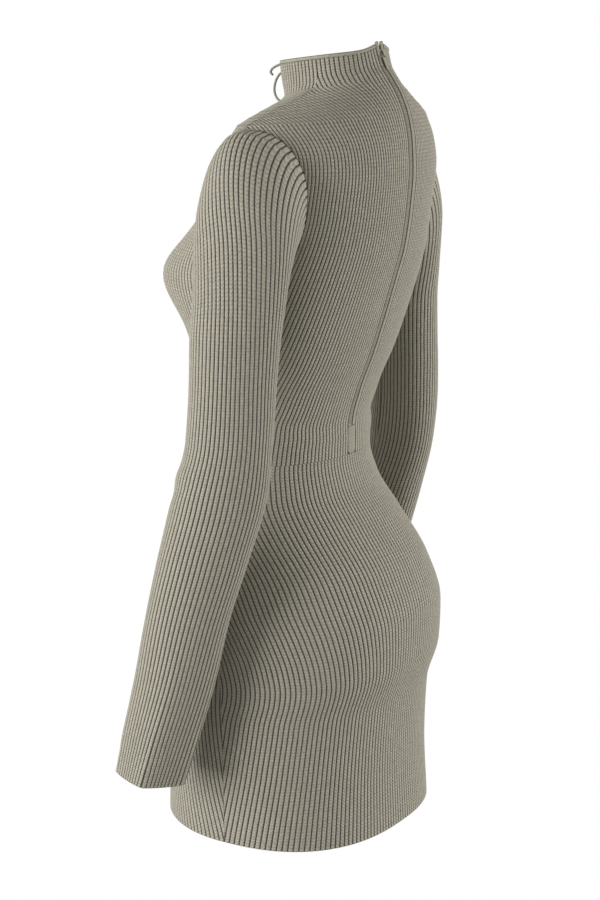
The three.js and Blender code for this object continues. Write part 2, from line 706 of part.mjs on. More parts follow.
// A sleeve is one panel, sewn to itself under the arm, so both of its halves share that seam.
function sleeve(side) {
  const body = new Body();
  const ribs = (run) => readTable(SLEEVE_RIBS, 'run', run).ribs;
  for (const half of ['back', 'front']) {
    const round = half === 'back' ? Math.PI : -Math.PI;
    const surface = ({ rib, level: run, isEdge }, lift) => {
      const turn = isEdge ? round : round * turnShare(rib, run);
      const normal = run === 1 ? armholeNormal(turn) : sleeveNormal(turn, run);
      const point = sleevePoint(turn, run).addScaledVector(normal, lift);
      return side === 'left' ? point : flip(point);
    };
    addHalf(body, {
      half,
      rows: ROWS.sleeve,
      edge: ROWS.sleeve.map((run) => ({ rib: clearOfColumns(ribs(run)), level: run, isEdge: true })),
      surface,
      isShared: (knot) => knot.rib === 0 || knot.isEdge,
      walls: { bottom: true, top: true },
      isMirrored: half === 'front',
    });
  }
  return body;
}

// A bar through rings of points, closed by a flat cap at each end.
function bar(rings) {
  const body = new Body();
  const sides = rings[0].length;
  const last = rings.length - 1;
  const at = (ring, corner) => body.point(`${ring} ${corner % sides}`, () => rings[ring][corner % sides]);
  for (let ring = 0; ring < last; ring += 1) {
    for (let corner = 0; corner < sides; corner += 1) {
      body.face(at(ring, corner), at(ring, corner + 1), at(ring + 1, corner + 1));
      body.face(at(ring, corner), at(ring + 1, corner + 1), at(ring + 1, corner));
    }
  }
  for (let corner = 1; corner < sides - 1; corner += 1) {
    body.face(at(0, 0), at(0, corner + 1), at(0, corner));
    body.face(at(last, 0), at(last, corner), at(last, corner + 1));
  }
  return body;
}

// Evenly spaced numbers, both ends included.
function spread(from, to, count) {
  return Array.from({ length: count + 1 }, (_, i) => from + ((to - from) * i) / count);
}

// A point that stands off the body by a lift, at a length of girth from the centre back.
function onBody(along, level, lift) {
  return bodyPoint('back', along, level).addScaledVector(bodyNormal('back', along, level), lift);
}

function collarBinding(side) {
  const { low, high, inner, outer, bevel, steps } = BINDING;
  const girth = girthAt(LEVEL.collarTop).lengths[SAMPLES];
  const section = [
    [low, inner],
    [low, outer],
    [high - bevel, outer],
    [high, outer - bevel],
    [high, inner + bevel],
    [high - bevel, inner],
  ];
  return bar(spread(ZIP_CLEAR, girth - SLIT_GAPE, steps).map((along) => {
    const ring = section.map(([up, lift]) => onBody(along, LEVEL.collarTop + up, lift));
    return side === 'left' ? ring : ring.map(flip);
  }));
}

function zipRows() {
  return [...ZIP_LEVELS.map((level) => ({ level, near: ZIP_BAND.near, far: 0 })), ...ZIP_BAND_TOP];
}

function zipBand(side) {
  const { outer, lift, bevel } = ZIP_BAND;
  return bar(zipRows().map(({ level, near, far }) => {
    const section = [
      [near, 0],
      [near, lift - bevel],
      [near + bevel, lift],
      [outer - far - bevel, lift],
      [outer - far, lift - bevel],
      [outer - far, 0],
    ];
    const ring = section.map(([along, up]) => onBody(along, level, up));
    return side === 'left' ? ring : ring.map(flip);
  }));
}

// A flat strip across the centre back, through rows of levels and half widths.
function centreStrip({ low, high, bevel }, rows) {
  return bar(rows.map(({ level, half }) => [
    onBody(-half, level, low),
    onBody(half, level, low),
    onBody(half, level, high - bevel),
    onBody(half - bevel, level, high),
    onBody(bevel - half, level, high),
    onBody(-half, level, high - bevel),
  ]));
}

function zipStrip(strip) {
  const rows = zipRows().filter(({ level }) => level <= strip.top);
  return centreStrip(strip, rows.map(({ level }) => ({ level, half: strip.half })));
}

// From the slider's own axes to the body's: X across, Y out of the cloth and Z up along the zip.
function sliderPlace() {
  const across = new THREE.Vector3(1, 0, 0);
  const out = bodyNormal('back', 0, SLIDER.level);
  const up = new THREE.Vector3().crossVectors(across, out);
  return new THREE.Matrix4().makeBasis(across, out, up).setPosition(bodyPoint('back', 0, SLIDER.level));
}

const pointsOf = (corners) => corners.map(([u, v]) => new THREE.Vector2(u, v));

// The slider and its arch are one side outline with a hole, extruded across.
function zipSlider() {
  const { half, low, top, archHalf, archTop, holeHalf, holeTop, width, chamfer } = SLIDER;
  const outline = new THREE.Shape(pointsOf([
    [low, -half],
    [top - chamfer, -half],
    [top, chamfer - half],
    [top, -archHalf],
    [archTop - chamfer, -archHalf],
    [archTop, chamfer - archHalf],
    [archTop, archHalf - chamfer],
    [archTop - chamfer, archHalf],
    [top, archHalf],
    [top, half - chamfer],
    [top - chamfer, half],
    [low, half],
  ]));
  outline.holes.push(new THREE.Path(pointsOf([
    [top, -holeHalf],
    [top, holeHalf],
    [holeTop, holeHalf],
    [holeTop, -holeHalf],
  ])));
  const geometry = new THREE.ExtrudeGeometry(outline, { depth: width, bevelEnabled: false });
  const across = new THREE.Matrix4().makeBasis(
    new THREE.Vector3(0, 1, 0),
    new THREE.Vector3(0, 0, 1),
    new THREE.Vector3(1, 0, 0),
  );
  return geometry.translate(0, 0, -width / 2).applyMatrix4(across).applyMatrix4(sliderPlace());
}

// The pull tab hangs from the arch, whose lower post passes through the tab's window.
function pullTab() {
  const { half, endHalf, top, shoulder, length, windowHalf, windowTop, windowEnd, thick, rest } = PULL_TAB;
  const outline = new THREE.Shape();
  outline.moveTo(half, top);
  outline.lineTo(-half, top);
  outline.lineTo(-half, -shoulder);
  outline.lineTo(-endHalf, endHalf - length);
  outline.absarc(0, endHalf - length, endHalf, Math.PI, 2 * Math.PI);
  outline.lineTo(half, -shoulder);
  outline.holes.push(new THREE.Path(pointsOf([
    [-windowHalf, windowTop],
    [windowHalf, windowTop],
    [windowHalf, windowEnd],
    [-windowHalf, windowEnd],
  ])));
  return new THREE.ExtrudeGeometry(outline, { depth: thick, bevelEnabled: false, curveSegments: 8 })
    .translate(0, 0, -thick / 2)
    .rotateX(Math.PI / 2 + degToRad(rest))
    .translate(0, SLIDER.pivot, 0)
    .applyMatrix4(sliderPlace());
}

// A round lace through its route's points.
function lace() {
  const { radius, sides, steps } = LACE;
  const route = new THREE.CatmullRomCurve3(LACE_ROUTE.map(({ x, y, z }) => new THREE.Vector3(x, y, z)));
  const frames = route.computeFrenetFrames(steps, false);
  return bar(spread(0, 1, steps).map((along, i) => (
    spread(0, 2 * Math.PI, sides).slice(1).map((angle) => (
      route.getPointAt(along)
        .addScaledVector(frames.normals[i], radius * Math.cos(angle))
        .addScaledVector(frames.binormals[i], radius * Math.sin(angle))
    ))
  )));
}

// Joins an extrusion's faces into one closed body.
function closed(geometry) {
  geometry.deleteAttribute('normal');
  geometry.deleteAttribute('uv');
  const joined = mergeVertices(geometry);
  joined.computeVertexNormals();
  return joined;
}

const dress = new THREE.Group();

function add(name, geometry, finish) {
  const mesh = new THREE.Mesh(geometry, new THREE.MeshStandardMaterial(finish));
  mesh.name = name;
  dress.add(mesh);
}

add('back_left', backPanel('left').geometry(), FINISH.knit);
add('back_right', backPanel('right').geometry(), FINISH.knit);
add('front', frontPanel().geometry(), FINISH.knit);
add('skirt_back', skirtPanel('back', ROWS.skirtBack).geometry(), FINISH.knit);
add('skirt_front', skirtPanel('front', ROWS.skirtFront).geometry(), FINISH.knit);
for (const side of ['left', 'right']) {
  add(`sleeve_${side}`, sleeve(side).geometry(), FINISH.knit);
  add(`collar_binding_${side}`, collarBinding(side).geometry(), FINISH.trim);
  add(`zip_band_${side}`, zipBand(side).geometry(), FINISH.trim);
}
add('zip_end_tab', centreStrip(ZIP_END_TAB, ZIP_END_TAB_ROWS).geometry(), FINISH.trim);
add('zip_tape', zipStrip(ZIP_TAPE).geometry(), FINISH.tape);
add('zip_teeth', zipStrip(ZIP_TEETH).geometry(), FINISH.teeth);
add('zip_slider', closed(zipSlider()), FINISH.enamel);
add('pull_tab', closed(pullTab()), FINISH.enamel);
add('lace', lace().geometry(), FINISH.trim);

export default dress;
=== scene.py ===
"""Looks of a rib-knit mini dress with a high collar, long sleeves, a back zip and a laced slit."""

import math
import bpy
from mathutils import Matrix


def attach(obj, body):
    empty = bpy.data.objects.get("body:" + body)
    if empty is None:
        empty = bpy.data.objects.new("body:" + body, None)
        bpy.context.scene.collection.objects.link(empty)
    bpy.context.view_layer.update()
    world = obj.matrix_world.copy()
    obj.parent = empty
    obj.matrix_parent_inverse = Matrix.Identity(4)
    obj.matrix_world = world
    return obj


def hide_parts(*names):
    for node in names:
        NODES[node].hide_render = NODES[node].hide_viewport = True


bl_info = {
    "name": "Rib knit dress",
    "version": (1, 0, 0),
    "blender": (4, 5, 0),
    "location": "View3D > Sidebar > Dress",
    "description": "Builds the dress's knit, trims, zip, lace and stage round its packed frame",
    "category": "Object",
}

from types import SimpleNamespace

import bpy
import numpy as np
from bpy.props import FloatProperty, FloatVectorProperty, PointerProperty
from mathutils import Vector

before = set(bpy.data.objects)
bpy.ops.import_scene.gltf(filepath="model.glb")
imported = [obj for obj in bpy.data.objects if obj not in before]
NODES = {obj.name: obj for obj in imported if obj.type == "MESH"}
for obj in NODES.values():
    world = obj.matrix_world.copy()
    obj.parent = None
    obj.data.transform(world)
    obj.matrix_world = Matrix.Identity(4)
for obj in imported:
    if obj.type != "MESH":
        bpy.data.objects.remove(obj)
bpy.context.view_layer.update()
MM = 0.001

# Body sections from hem to collar. half is the half width at the side line, back and front are
# the centre lines' Y, side is the side line's Y, tilt is how steeply a section falls to the front,
# drop is how far it lies below its level, and the squares are the superellipse exponents.
SECTIONS = (
    ("level", "half", "back", "front", "side", "tilt", "drop", "square_back", "square_front"),
    (-768, 161, 61, -188, -62, -0.06, 0, 2.5, 2.1),
    (-700, 163, 58, -185, -62, -0.02, 0, 2.4, 2.1),
    (-640, 164, 61, -183, -63, 0, 0, 2.4, 2.1),
    (-590, 165, 75, -182, -64, 0, 0, 2.5, 2.1),
    (-548, 164, 77, -182, -66, 0, 0, 2.5, 2.1),
    (-500, 157, 63, -182, -70, 0, 0, 2.4, 2.1),
    (-450, 143, 33, -180, -76, 0, 0, 2.2, 2.1),
    (-410, 129, 8, -177, -81, 0, 0, 2.1, 2.1),
    (-377, 121, 0, -173, -84, 0, 0, 2.1, 2.1),
    (-347, 121, 0, -168, -80, 0, 0, 2.1, 2.2),
    (-308, 124, 9, -160, -74, 0, 0, 2.2, 2.3),
    (-269, 128, 24, -153, -66, 0, 0, 2.4, 2.4),
    (-233, 132, 36, -151, -60, 0, 0, 2.5, 2.5),
    (-184, 136, 51, -152, -54, 0, 0, 2.6, 2.6),
    (-152, 138, 60, -145, -50, 0, 0, 2.5, 2.5),
    (-110, 142, 66, -129, -45, 0, 0, 2.4, 2.4),
    (-77, 147, 68.5, -112, -41, 0, 0, 2.4, 2.3),
    (-50, 151, 67, -98, -39, 0.04, 0, 2.15, 2.2),
    (-32, 151, 63, -88, -38, 0.08, 0, 1.9, 2),
    (-14, 107, 55.5, -77, -28, 0.13, 0, 1.8, 2),
    (0, 65, 47, -69, -16, 0.18, 0, 1.9, 2),
    (5, 55, 44, -68, -13, 0.19, 0, 2.1, 2),
    (20, 52, 36, -71, -11, 0.15, 2.2, 2.3, 2.1),
    (40, 53, 30, -74, -11, 0.12, 4.5, 2.4, 2.1),
)

# The collar rises to a peak at the centre back, in shares of its drop.
PEAK = {"share": 1.4, "wide": 22}

# Soft forms of the front that stand out of the sections, on the left and mirrored.
MOUNDS = (
    ("x", "level", "wide", "high", "out"),
    (71, -189, 48, 48, -37),
)

# Rings of the left sleeve from cuff to shoulder. long and short are half axes, turn is the angle
# of the short axis from +X in degrees, and round is the oval's exponent: below 2 it is pointed.
SLEEVE = (
    ("level", "x", "y", "long", "short", "turn", "round", "tilt"),
    (-689, 220, -117, 35, 30, 14, 1.2, -0.12),
    (-648, 219, -106, 37, 28, 16, 1.35, -0.1),
    (-582, 217, -88, 39, 28, 21, 1.6, -0.06),
    (-518, 215, -74, 40.5, 28.5, 26, 1.9, 0),
    (-455, 212, -57, 43.5, 29, 28, 2, 0),
    (-393, 207, -41, 45.5, 29, 28, 2, 0),
    (-332, 201, -32, 41, 31, 28, 2, 0),
    (-292, 197, -31, 41, 31, 27, 2, 0),
    (-233, 190, -31, 43, 32, 25, 2, 0),
    (-194, 185, -29, 44.5, 33, 20, 2, 0),
    (-145, 179, -28, 48, 35, 14, 2, 0),
    (-100, 172, -31, 51, 36, 8, 2, 0),
    (-60, 166, -36, 52, 38, 4, 2, 0),
    (-32, 160, -41, 51, 38, 0, 2, 0),
)

# Rib spacing in millimetres at each level, as the knit stretches over the figure.
RIB_PITCH = (
    ("level", "back", "front"),
    (-768, 5.7, 5.7),
    (-690, 5.25, 5.25),
    (-625, 5.1, 5.1),
    (-580, 5.35, 5.2),
    (-520, 5.9, 5.6),
    (-450, 5.8, 5.5),
    (-377, 5, 5),
    (-184, 4.3, 4.6),
    (-110, 3.95, 4.3),
    (-60, 3.95, 4.2),
    (-32, 4.2, 4.2),
    (5, 4.7, 4.4),
    (40, 4.6, 4.4),
)

# Ribs on each half of a sleeve, from its outer line round to its underarm seam, and how far
# they are drawn in towards the outer line, which evens them out round the oval.
SLEEVE_RIBS = (
    ("run", "ribs", "even"),
    (0, 22, 0.095),
    (0.2, 23.5, 0.075),
    (0.35, 25, 0.03),
    (0.5, 27, 0.02),
    (0.7, 27.5, 0.055),
    (0.85, 28.5, 0.08),
    (1, 31, 0.05),
)

# Levels of the seams and openings.
COLLAR_TOP = 40
SLIT_END = -48
WAIST = -377
HEM = -768

# The armhole is an oval on the body's side. Its inset is the share of the quarter girth that it
# takes at its deepest, and blunt is the oval's exponent.
HOLE_TOP = -32
HOLE_BOTTOM = -184
HOLE_MIDDLE = (HOLE_TOP + HOLE_BOTTOM) / 2
HOLE_HALF = (HOLE_TOP - HOLE_BOTTOM) / 2
HOLE_INSET = {"back": 0.3, "front": 0.32}
HOLE_BLUNT = 2.4

# Half the slit's opening at the collar top, where the ribs start beside the zip, and how far the
# body's and the sleeve's edges stay from their seam line.
SLIT_GAPE = 7
ZIP_CLEAR = 9.1
SEAM = 0.15
SLEEVE_SEAM = 0.45

# The sleeve's rows are level up to the shared run, and above it they fan out to meet the armhole.
# The cap blends from the armhole into the level rings over its lengths, and blunt is how roundly
# it does so: its first value at the top and bottom, and both added at the sides.
SLEEVE_LENGTH = 662
SHARED_RUN = 0.76
SHARED_LEVEL = -232
CAP = {"top": 75, "side": 70, "bottom": 45, "blunt": (0.45, 0.15)}

# Depth over which the soft forms fade in, width beside the armhole over which a panel's thickness
# turns towards the sleeve's, and the steps for reading the surfaces' directions.
FADE = 20
NORMAL_BLEND = 14
STEP = 0.5
SLEEVE_STEP = 0.004

# The least distance, in ribs, of an edge's knot from a column of points.
EDGE_CLEAR = 0.015

# The lace's mesh, how it narrows at its ends, its knit, and its route from its sewn end to its
# cut end.
LACE = {"points": 240, "sides": 20, "steps": 40, "taper": 3, "end": 0.55}
LACE_KNIT = {"wales": 5, "groove": 0.1, "stitch": 1.6}
LACE_ROUTE = (
    (9.5, -74.56, -19),
    (5, -70.6, -16),
    (1.4, -69, -13),
    (0.8, -77, -11),
    (0.2, -85.5, -8.6),
    (-1, -90.2, -2),
    (-2, -91, 5),
    (-3, -88.5, 13.5),
    (-3.6, -82.8, 19.6),
    (-4, -75, 21.5),
    (-3.6, -67, 20.5),
    (0, -62.5, 21.5),
    (3.6, -66, 25.5),
    (4, -74, 29),
    (4, -82, 27.5),
    (4, -90.5, 23.2),
    (4, -92.4, 19.6),
    (4, -89.6, 16.6),
)

# Stitches of the smooth strips and of the tape, and the section of the collar's bindings.
JERSEY_STITCH = 2.0
TAPE_STITCH = 1.0
BINDING = {"gap": 0.3, "thick": 2.6, "corner": 0.9, "rings": 90}

# A zip band's section on the left and how it rises at its top, the end tab, and the tape's
# section as lengths of girth from the centre and lifts off the body.
BAND = {"bottom": -347, "slider": 24, "top": 42, "near": 1.3, "far": 8.1, "thick": 2.4, "corner": 0.7}
BAND_TOP = {"near": 2.3, "rise": 4.2, "shrink": 2.4}
END_TAB = {"low": -376.8, "high": -347.6, "half": 8.2, "thick": 2.3, "corner": 0.6, "round": 5, "narrow": 4}
TAPE_SECTION = ((-8, -1.4), (-8, -0.5), (-4, -0.4), (0, -0.4), (4, -0.4), (8, -0.5), (8, -1.4))

# The zip's coil: its levels, its two rows' distance from the centre, their lift and a turn's size.
COIL = {"low": -346, "high": 27, "across": 0.3, "lift": 1.3, "size": (0.85, 0.5, 0.75)}

# Rows of stitches on the zip's bands: where they run and stand, then each row's place from the
# centre, the size of a stitch and what it is made of.
STITCH_ROW = {"low": -344, "high": 34, "lift": 2.35}
BAND_STITCHES = (
    ("name", "across", "size", "material"),
    ("ladder_stitches_near", 2.9, (2.2, 0.5, 0.5), "Zip tape twill"),
    ("ladder_stitches_middle", 4.9, (2.2, 0.5, 0.5), "Zip tape twill"),
    ("ladder_stitches_far", 6.9, (2.2, 0.5, 0.5), "Zip tape twill"),
    ("edge_stitches", -2.1, (0.9, 0.6, 2.0), "Sewing thread"),
)
LINE_STEP = 3

# Colour, whether it is ribbed, and the depth of its stitches in millimetres.
KNIT_FINISHES = {
    "Rib knit wool": ("knit", True, 0.5),
    "Smooth knit jersey": ("trim", False, 0.25),
}

# Colour, roughness, fineness of the grain, and its depth in millimetres.
PLAIN_FINISHES = {
    "Sewing thread": ("thread", 0.8, 2400.0, 0.05),
    "Zip tape twill": ("tape", 0.9, 1800.0, 0.1),
    # The coil shares the tape's dark colour and is lifted into the gap between the bands, where it shows as
    # a dark line of painted shade.
    "Zip teeth nylon": ("tape", 0.55, 900.0, 0.03),
    "Slider enamel": ("enamel", 0.4, 700.0, 0.02),
}


def read(table, at):
    """Smooth, shape-keeping values of a table's columns at an array of keys."""
    rows = np.array(table[1:], float)
    keys = rows[:, 0]
    span = np.diff(keys)
    slope = np.diff(rows, axis=0) / span[:, None]
    before, after = slope[:-1], slope[1:]
    same = before * after > 0
    middle = np.where(same, 2 * before * after / np.where(same, before + after, 1), 0)
    tangent = np.vstack([slope[:1], middle, slope[-1:]])
    place = np.clip(np.asarray(at, float), keys[0], keys[-1])
    i = np.clip(np.searchsorted(keys, place, side="right") - 1, 0, len(keys) - 2)
    u = ((place - keys[i]) / span[i])[..., None]
    width = span[i][..., None]
    value = hermite(u, rows[i], width * tangent[i], rows[i + 1], width * tangent[i + 1])
    return {name: value[..., k] for k, name in enumerate(table[0])}


def hermite(u, start, start_pull, end, end_pull):
    """Values at shares of the way from a start to an end, with a pull at each."""
    fade = (2 * u**3 - 3 * u**2 + 1) * start + (u**3 - 2 * u**2 + u) * start_pull
    return fade + (3 * u**2 - 2 * u**3) * end + (u**3 - u**2) * end_pull


def superellipse(angle, exponent):
    along, across = np.cos(angle), np.sin(angle)
    reach = (np.abs(along) ** exponent + np.abs(across) ** exponent) ** (-1 / exponent)
    return along * reach, across * reach


class Figure:
    """The body's surface, as a grid of levels and even steps of girth."""

    # Its lowest and highest level and their spacing, then its steps of angle and of girth.
    LOW, HIGH, PITCH, SAMPLES, EVEN = -775.0, 52.0, 1.5, 128, 320

    def __init__(self):
        self.levels = np.arange(self.LOW, self.HIGH, self.PITCH)
        section = read(SECTIONS, self.levels)
        angle = np.linspace(0, math.pi, self.SAMPLES + 1)[None, :]
        is_back = np.arange(self.SAMPLES + 1)[None, :] * 2 <= self.SAMPLES
        square = np.where(is_back, section["square_back"][:, None], section["square_front"][:, None])
        along, across = superellipse(angle, square)
        side = section["side"][:, None]
        depth = np.where(is_back, section["back"][:, None] - side, side - section["front"][:, None])
        x = section["half"][:, None] * across
        y = side + depth * along
        lengths = np.hstack([np.zeros((len(x), 1)), np.cumsum(np.hypot(np.diff(x), np.diff(y)), axis=1)])
        self.total = lengths[:, -1]
        self.girth = {"back": lengths[:, self.SAMPLES // 2]}
        self.girth["front"] = self.total - self.girth["back"]
        even = np.linspace(0, 1, self.EVEN + 1)
        spread = [(even * run[-1], run) for run in lengths]
        self.x = np.array([np.interp(*steps, row) for steps, row in zip(spread, x)])
        self.y = np.array([np.interp(*steps, row) for steps, row in zip(spread, y)])
        self.side, self.tilt, self.drop = section["side"], section["tilt"], section["drop"]

    def at(self, values, level):
        return np.interp(level, self.levels, values)

    def point(self, centre, along, level):
        """Points at lengths of girth from the centre back or the centre front."""
        along, level = np.broadcast_arrays(np.asarray(along, float), np.asarray(level, float))
        total = self.at(self.total, level)
        length = np.abs(along) if centre == "back" else total - np.abs(along)
        row = np.clip((level - self.LOW) / self.PITCH, 0, len(self.levels) - 1.001)
        column = np.clip(length / total * self.EVEN, 0, self.EVEN - 0.001)
        i, j = row.astype(int), column.astype(int)
        f, g = row - i, column - j

        def mixed(grid):
            low = grid[i, j] * (1 - g) + grid[i, j + 1] * g
            high = grid[i + 1, j] * (1 - g) + grid[i + 1, j + 1] * g
            return low * (1 - f) + high * f

        x, y = mixed(self.x), mixed(self.y)
        side = self.at(self.side, level)
        drop = self.at(self.drop, level)
        z = level + self.at(self.tilt, level) * (y - side) - drop
        z += drop * PEAK["share"] * np.exp(-((x / PEAK["wide"]) ** 2)) * (y > side)
        out = np.zeros_like(y)
        for mound_x, mound_level, wide, high, push in MOUNDS[1:]:
            out += push * np.exp(-(((x - mound_x) / wide) ** 2) - ((z - mound_level) / high) ** 2)
        y = y + out * np.clip((side - y) / FADE, 0, 1)
        return np.stack([np.where(along < 0, -x, x), y, z], axis=-1)

    def normal(self, centre, along, level):
        """Outward directions of the body at the same places."""
        level = np.minimum(level, COLLAR_TOP - STEP)
        across = self.point(centre, along + STEP, level) - self.point(centre, along - STEP, level)
        up = self.point(centre, along, level + STEP) - self.point(centre, along, level - STEP)
        normal = unit(np.cross(across, up))
        return -normal if centre == "back" else normal


def unit(vectors):
    return vectors / np.maximum(np.linalg.norm(vectors, axis=-1, keepdims=True), 1e-9)


figure = Figure()


def hole_share(centre, level, grow):
    u = np.minimum(np.abs((level - HOLE_MIDDLE) / (HOLE_HALF + grow)), 1)
    return 1 - HOLE_INSET[centre] * np.sqrt(1 - u**HOLE_BLUNT)


def edge_along(centre, level):
    """Girth from the centre line to a body panel's side edge."""
    return hole_share(centre, level, SEAM) * figure.at(figure.girth[centre], level) - SEAM


def hole_place(centre, turn):
    level = HOLE_MIDDLE + (HOLE_HALF - SLEEVE_SEAM) * np.cos(turn)
    girth = figure.at(figure.girth[centre], level)
    along = hole_share(centre, level, -SLEEVE_SEAM) * girth + SLEEVE_SEAM * np.abs(np.sin(turn))
    return level, along


def at_hole(surface, turn):
    """Points or directions of the body at the armhole's edge on the sleeve's side."""
    level, along = hole_place("back", turn)
    back = surface("back", along, level)
    front = surface("front", hole_place("front", turn)[1], level)
    return np.where(np.sin(turn)[..., None] >= 0, back, front)


def ring_point(turn, level):
    ring = read(SLEEVE, level)
    outward, backward = superellipse(turn, ring["round"])
    angle = np.radians(ring["turn"])
    u, v = ring["short"] * outward, ring["long"] * backward
    dx = u * np.cos(angle) - v * np.sin(angle)
    dy = u * np.sin(angle) + v * np.cos(angle)
    return np.stack([ring["x"] + dx, ring["y"] + dy, level + ring["tilt"] * dy], axis=-1)


def sleeve_point(turn, run):
    """Points of the left sleeve: turn goes round from its outer line and run goes up it."""
    turn, run = np.broadcast_arrays(np.asarray(turn, float), np.asarray(run, float))
    hole_level, hole = hole_place("back", turn)[0], at_hole(figure.point, turn)
    cuff = SLEEVE[1][0]
    level = np.where(
        run <= SHARED_RUN,
        cuff + (SHARED_LEVEL - cuff) * run / SHARED_RUN,
        SHARED_LEVEL + (hole_level - SHARED_LEVEL) * (run - SHARED_RUN) / (1 - SHARED_RUN),
    )
    high = np.cos(turn)
    above = CAP["side"] + (CAP["top"] - CAP["side"]) * high
    below = CAP["side"] + (CAP["bottom"] - CAP["side"]) * high * high
    drop = np.clip((hole_level - level) / np.where(high > 0, above, below), 0, 1)
    blunt = CAP["blunt"][0] + CAP["blunt"][1] * np.sin(turn) ** 2
    pull = 1 - (1 - (1 - drop) ** 2) ** blunt
    return ring_point(turn, level) + (hole - ring_point(turn, hole_level)) * pull[..., None]


def sleeve_normal(turn, run):
    run = np.clip(run, SLEEVE_STEP, 1 - 2 * SLEEVE_STEP)
    across = sleeve_point(turn + SLEEVE_STEP, run) - sleeve_point(turn - SLEEVE_STEP, run)
    up = sleeve_point(turn, run + SLEEVE_STEP) - sleeve_point(turn, run - SLEEVE_STEP)
    return unit(np.cross(across, up))


def hole_normal(turn):
    """The direction of thickness that body and sleeve share along the armhole."""
    return unit(at_hole(figure.normal, turn) + sleeve_normal(turn, np.ones_like(turn)))


# Columns of points in each rib, as shares of the rib, and how many ribs apart they are inside.
# The two powers make a rib flat on its top and round on its shoulders.
RIB_COLUMNS = (0.0, 0.07, 0.2, 0.5, 0.8, 0.93)
INNER_RIBS = 2.5
RIB_POWERS = (4, 0.7)


def relief(rib):
    """Height of the rib: 0 in a groove and 1 on its rounded top."""
    across = np.abs(2 * (rib - np.floor(rib)) - 1)
    return (1 - across ** RIB_POWERS[0]) ** RIB_POWERS[1]


def columns_up_to(limit, inner):
    if inner:
        return list(np.arange(0, limit, INNER_RIBS))
    return [n + f for n in range(int(limit) + 1) for f in RIB_COLUMNS if n + f < limit]


def clear_of_columns(rib):
    """Moves an edge's rib number off the nearest column."""
    for share in RIB_COLUMNS + (1.0,):
        column = math.floor(rib) + share
        if abs(rib - column) < EDGE_CLEAR:
            return column + (EDGE_CLEAR if rib >= column else -EDGE_CLEAR)
    return rib


class Shell:
    """A closed thin shell, gathered knot by knot. A knot is (rib, level, is on an edge)."""

    def __init__(self):
        self.index, self.knots, self.faces = {}, [], []

    def at(self, name, skin, knot):
        key = (name, skin, round(knot[0], 4), round(knot[1], 4), knot[2])
        if key not in self.index:
            self.index[key] = len(self.knots)
            self.knots.append((name, skin, knot))
        return self.index[key]

    def face(self, a, b, c, flipped):
        if a != b and b != c and a != c:
            self.faces.append((a, c, b) if flipped else (a, b, c))

    def columns(self):
        """The knots as arrays: name, is outside, rib, level and is on an edge."""
        names, skins, knots = zip(*self.knots)
        ribs, levels, edges = (np.array(column) for column in zip(*knots))
        return np.array(names), np.array(skins) == "outer", ribs, levels, edges


def zipped(left, right, measure):
    """Triangles between two chains of knots, each sorted by its measure: pairs of (chain, place)."""
    i = j = 0
    while i < len(left) - 1 or j < len(right) - 1:
        left_step = abs(left[i + 1][measure] - right[j][measure]) if i < len(left) - 1 else math.inf
        right_step = abs(right[j + 1][measure] - left[i][measure]) if j < len(right) - 1 else math.inf
        if left_step <= right_step:
            yield (0, i), (1, j), (0, i + 1)
            i += 1
        else:
            yield (0, i), (1, j), (1, j + 1)
            j += 1


def lay_out(rows, edge, inner):
    """The seam with its crossings, and columns of runs: (seam start, knots, seam end)."""
    ribs = columns_up_to(max(knot[0] for knot in edge), inner)
    seam = [edge[0]]
    crossed = {rib: [] for rib in ribs}
    for a, b in zip(edge, edge[1:]):
        low, high = sorted((a[0], b[0]))
        found = []
        for rib in ribs:
            if low < rib < high:
                found.append((rib, a[1] + (b[1] - a[1]) * (rib - a[0]) / (b[0] - a[0]), True))
        found.sort(key=lambda knot: knot[1])
        for knot in found:
            crossed[knot[0]].append((len(seam), knot))
            seam.append(knot)
        seam.append(b)
    bottom, top = rows[0], rows[-1]
    clear = (rows[1] - rows[0]) * 0.1
    columns = []
    for rib in ribs:
        ends = list(crossed[rib])
        if rib < edge[0][0]:
            ends.insert(0, (-1, (rib, bottom, False)))
        if len(ends) % 2:
            ends.append((len(seam), (rib, top, False)))
        runs = []
        for (start, first), (end, last) in zip(ends[::2], ends[1::2]):
            inside = [(rib, level, False) for level in rows if first[1] + clear < level < last[1] - clear]
            runs.append((start, [first, *inside, last], end))
        columns.append(runs)
    return seam, columns


def right_of(run, next_runs, seam):
    start, knots, end = run
    chain, place = [], start
    for nxt in next_runs:
        if nxt[1][0][1] < knots[0][1] or nxt[1][-1][1] > knots[-1][1]:
            continue
        if nxt[0] > place:
            chain += seam[place + 1 : nxt[0]]
        chain += nxt[1]
        place = nxt[2]
    if place < len(seam):
        chain += seam[place + 1 : end]
    return chain


def add_skin(shell, name_of, skin, rows, edge, flipped):
    seam, columns = lay_out(rows, edge, skin == "inner")
    for index, runs in enumerate(columns):
        following = columns[index + 1] if index + 1 < len(columns) else []
        for run in runs:
            chains = (run[1], right_of(run, following, seam))
            if chains[1]:
                for corners in zipped(*chains, 1):
                    knots = [chains[c][k] for c, k in corners]
                    shell.face(*[shell.at(name_of(k), skin, k) for k in knots], flipped)
    low = [runs[0][1][0] for runs in columns if runs and runs[0][0] == -1]
    high = [runs[-1][1][-1] for runs in columns if runs and runs[-1][2] == len(seam)]
    return {
        "bottom": [*low, seam[0]],
        "seam": seam,
        "top": [*high, seam[-1]][::-1],
        "centre": columns[0][0][1],
    }


def add_wall(shell, name_of, outer, inner, measure, flipped):
    chains, skins = (outer, inner), ("outer", "inner")
    for corners in zipped(outer, inner, measure):
        a, b, c = [shell.at(name_of(chains[k][i]), skins[k], chains[k][i]) for k, i in corners]
        shell.face(a, b, c, flipped)


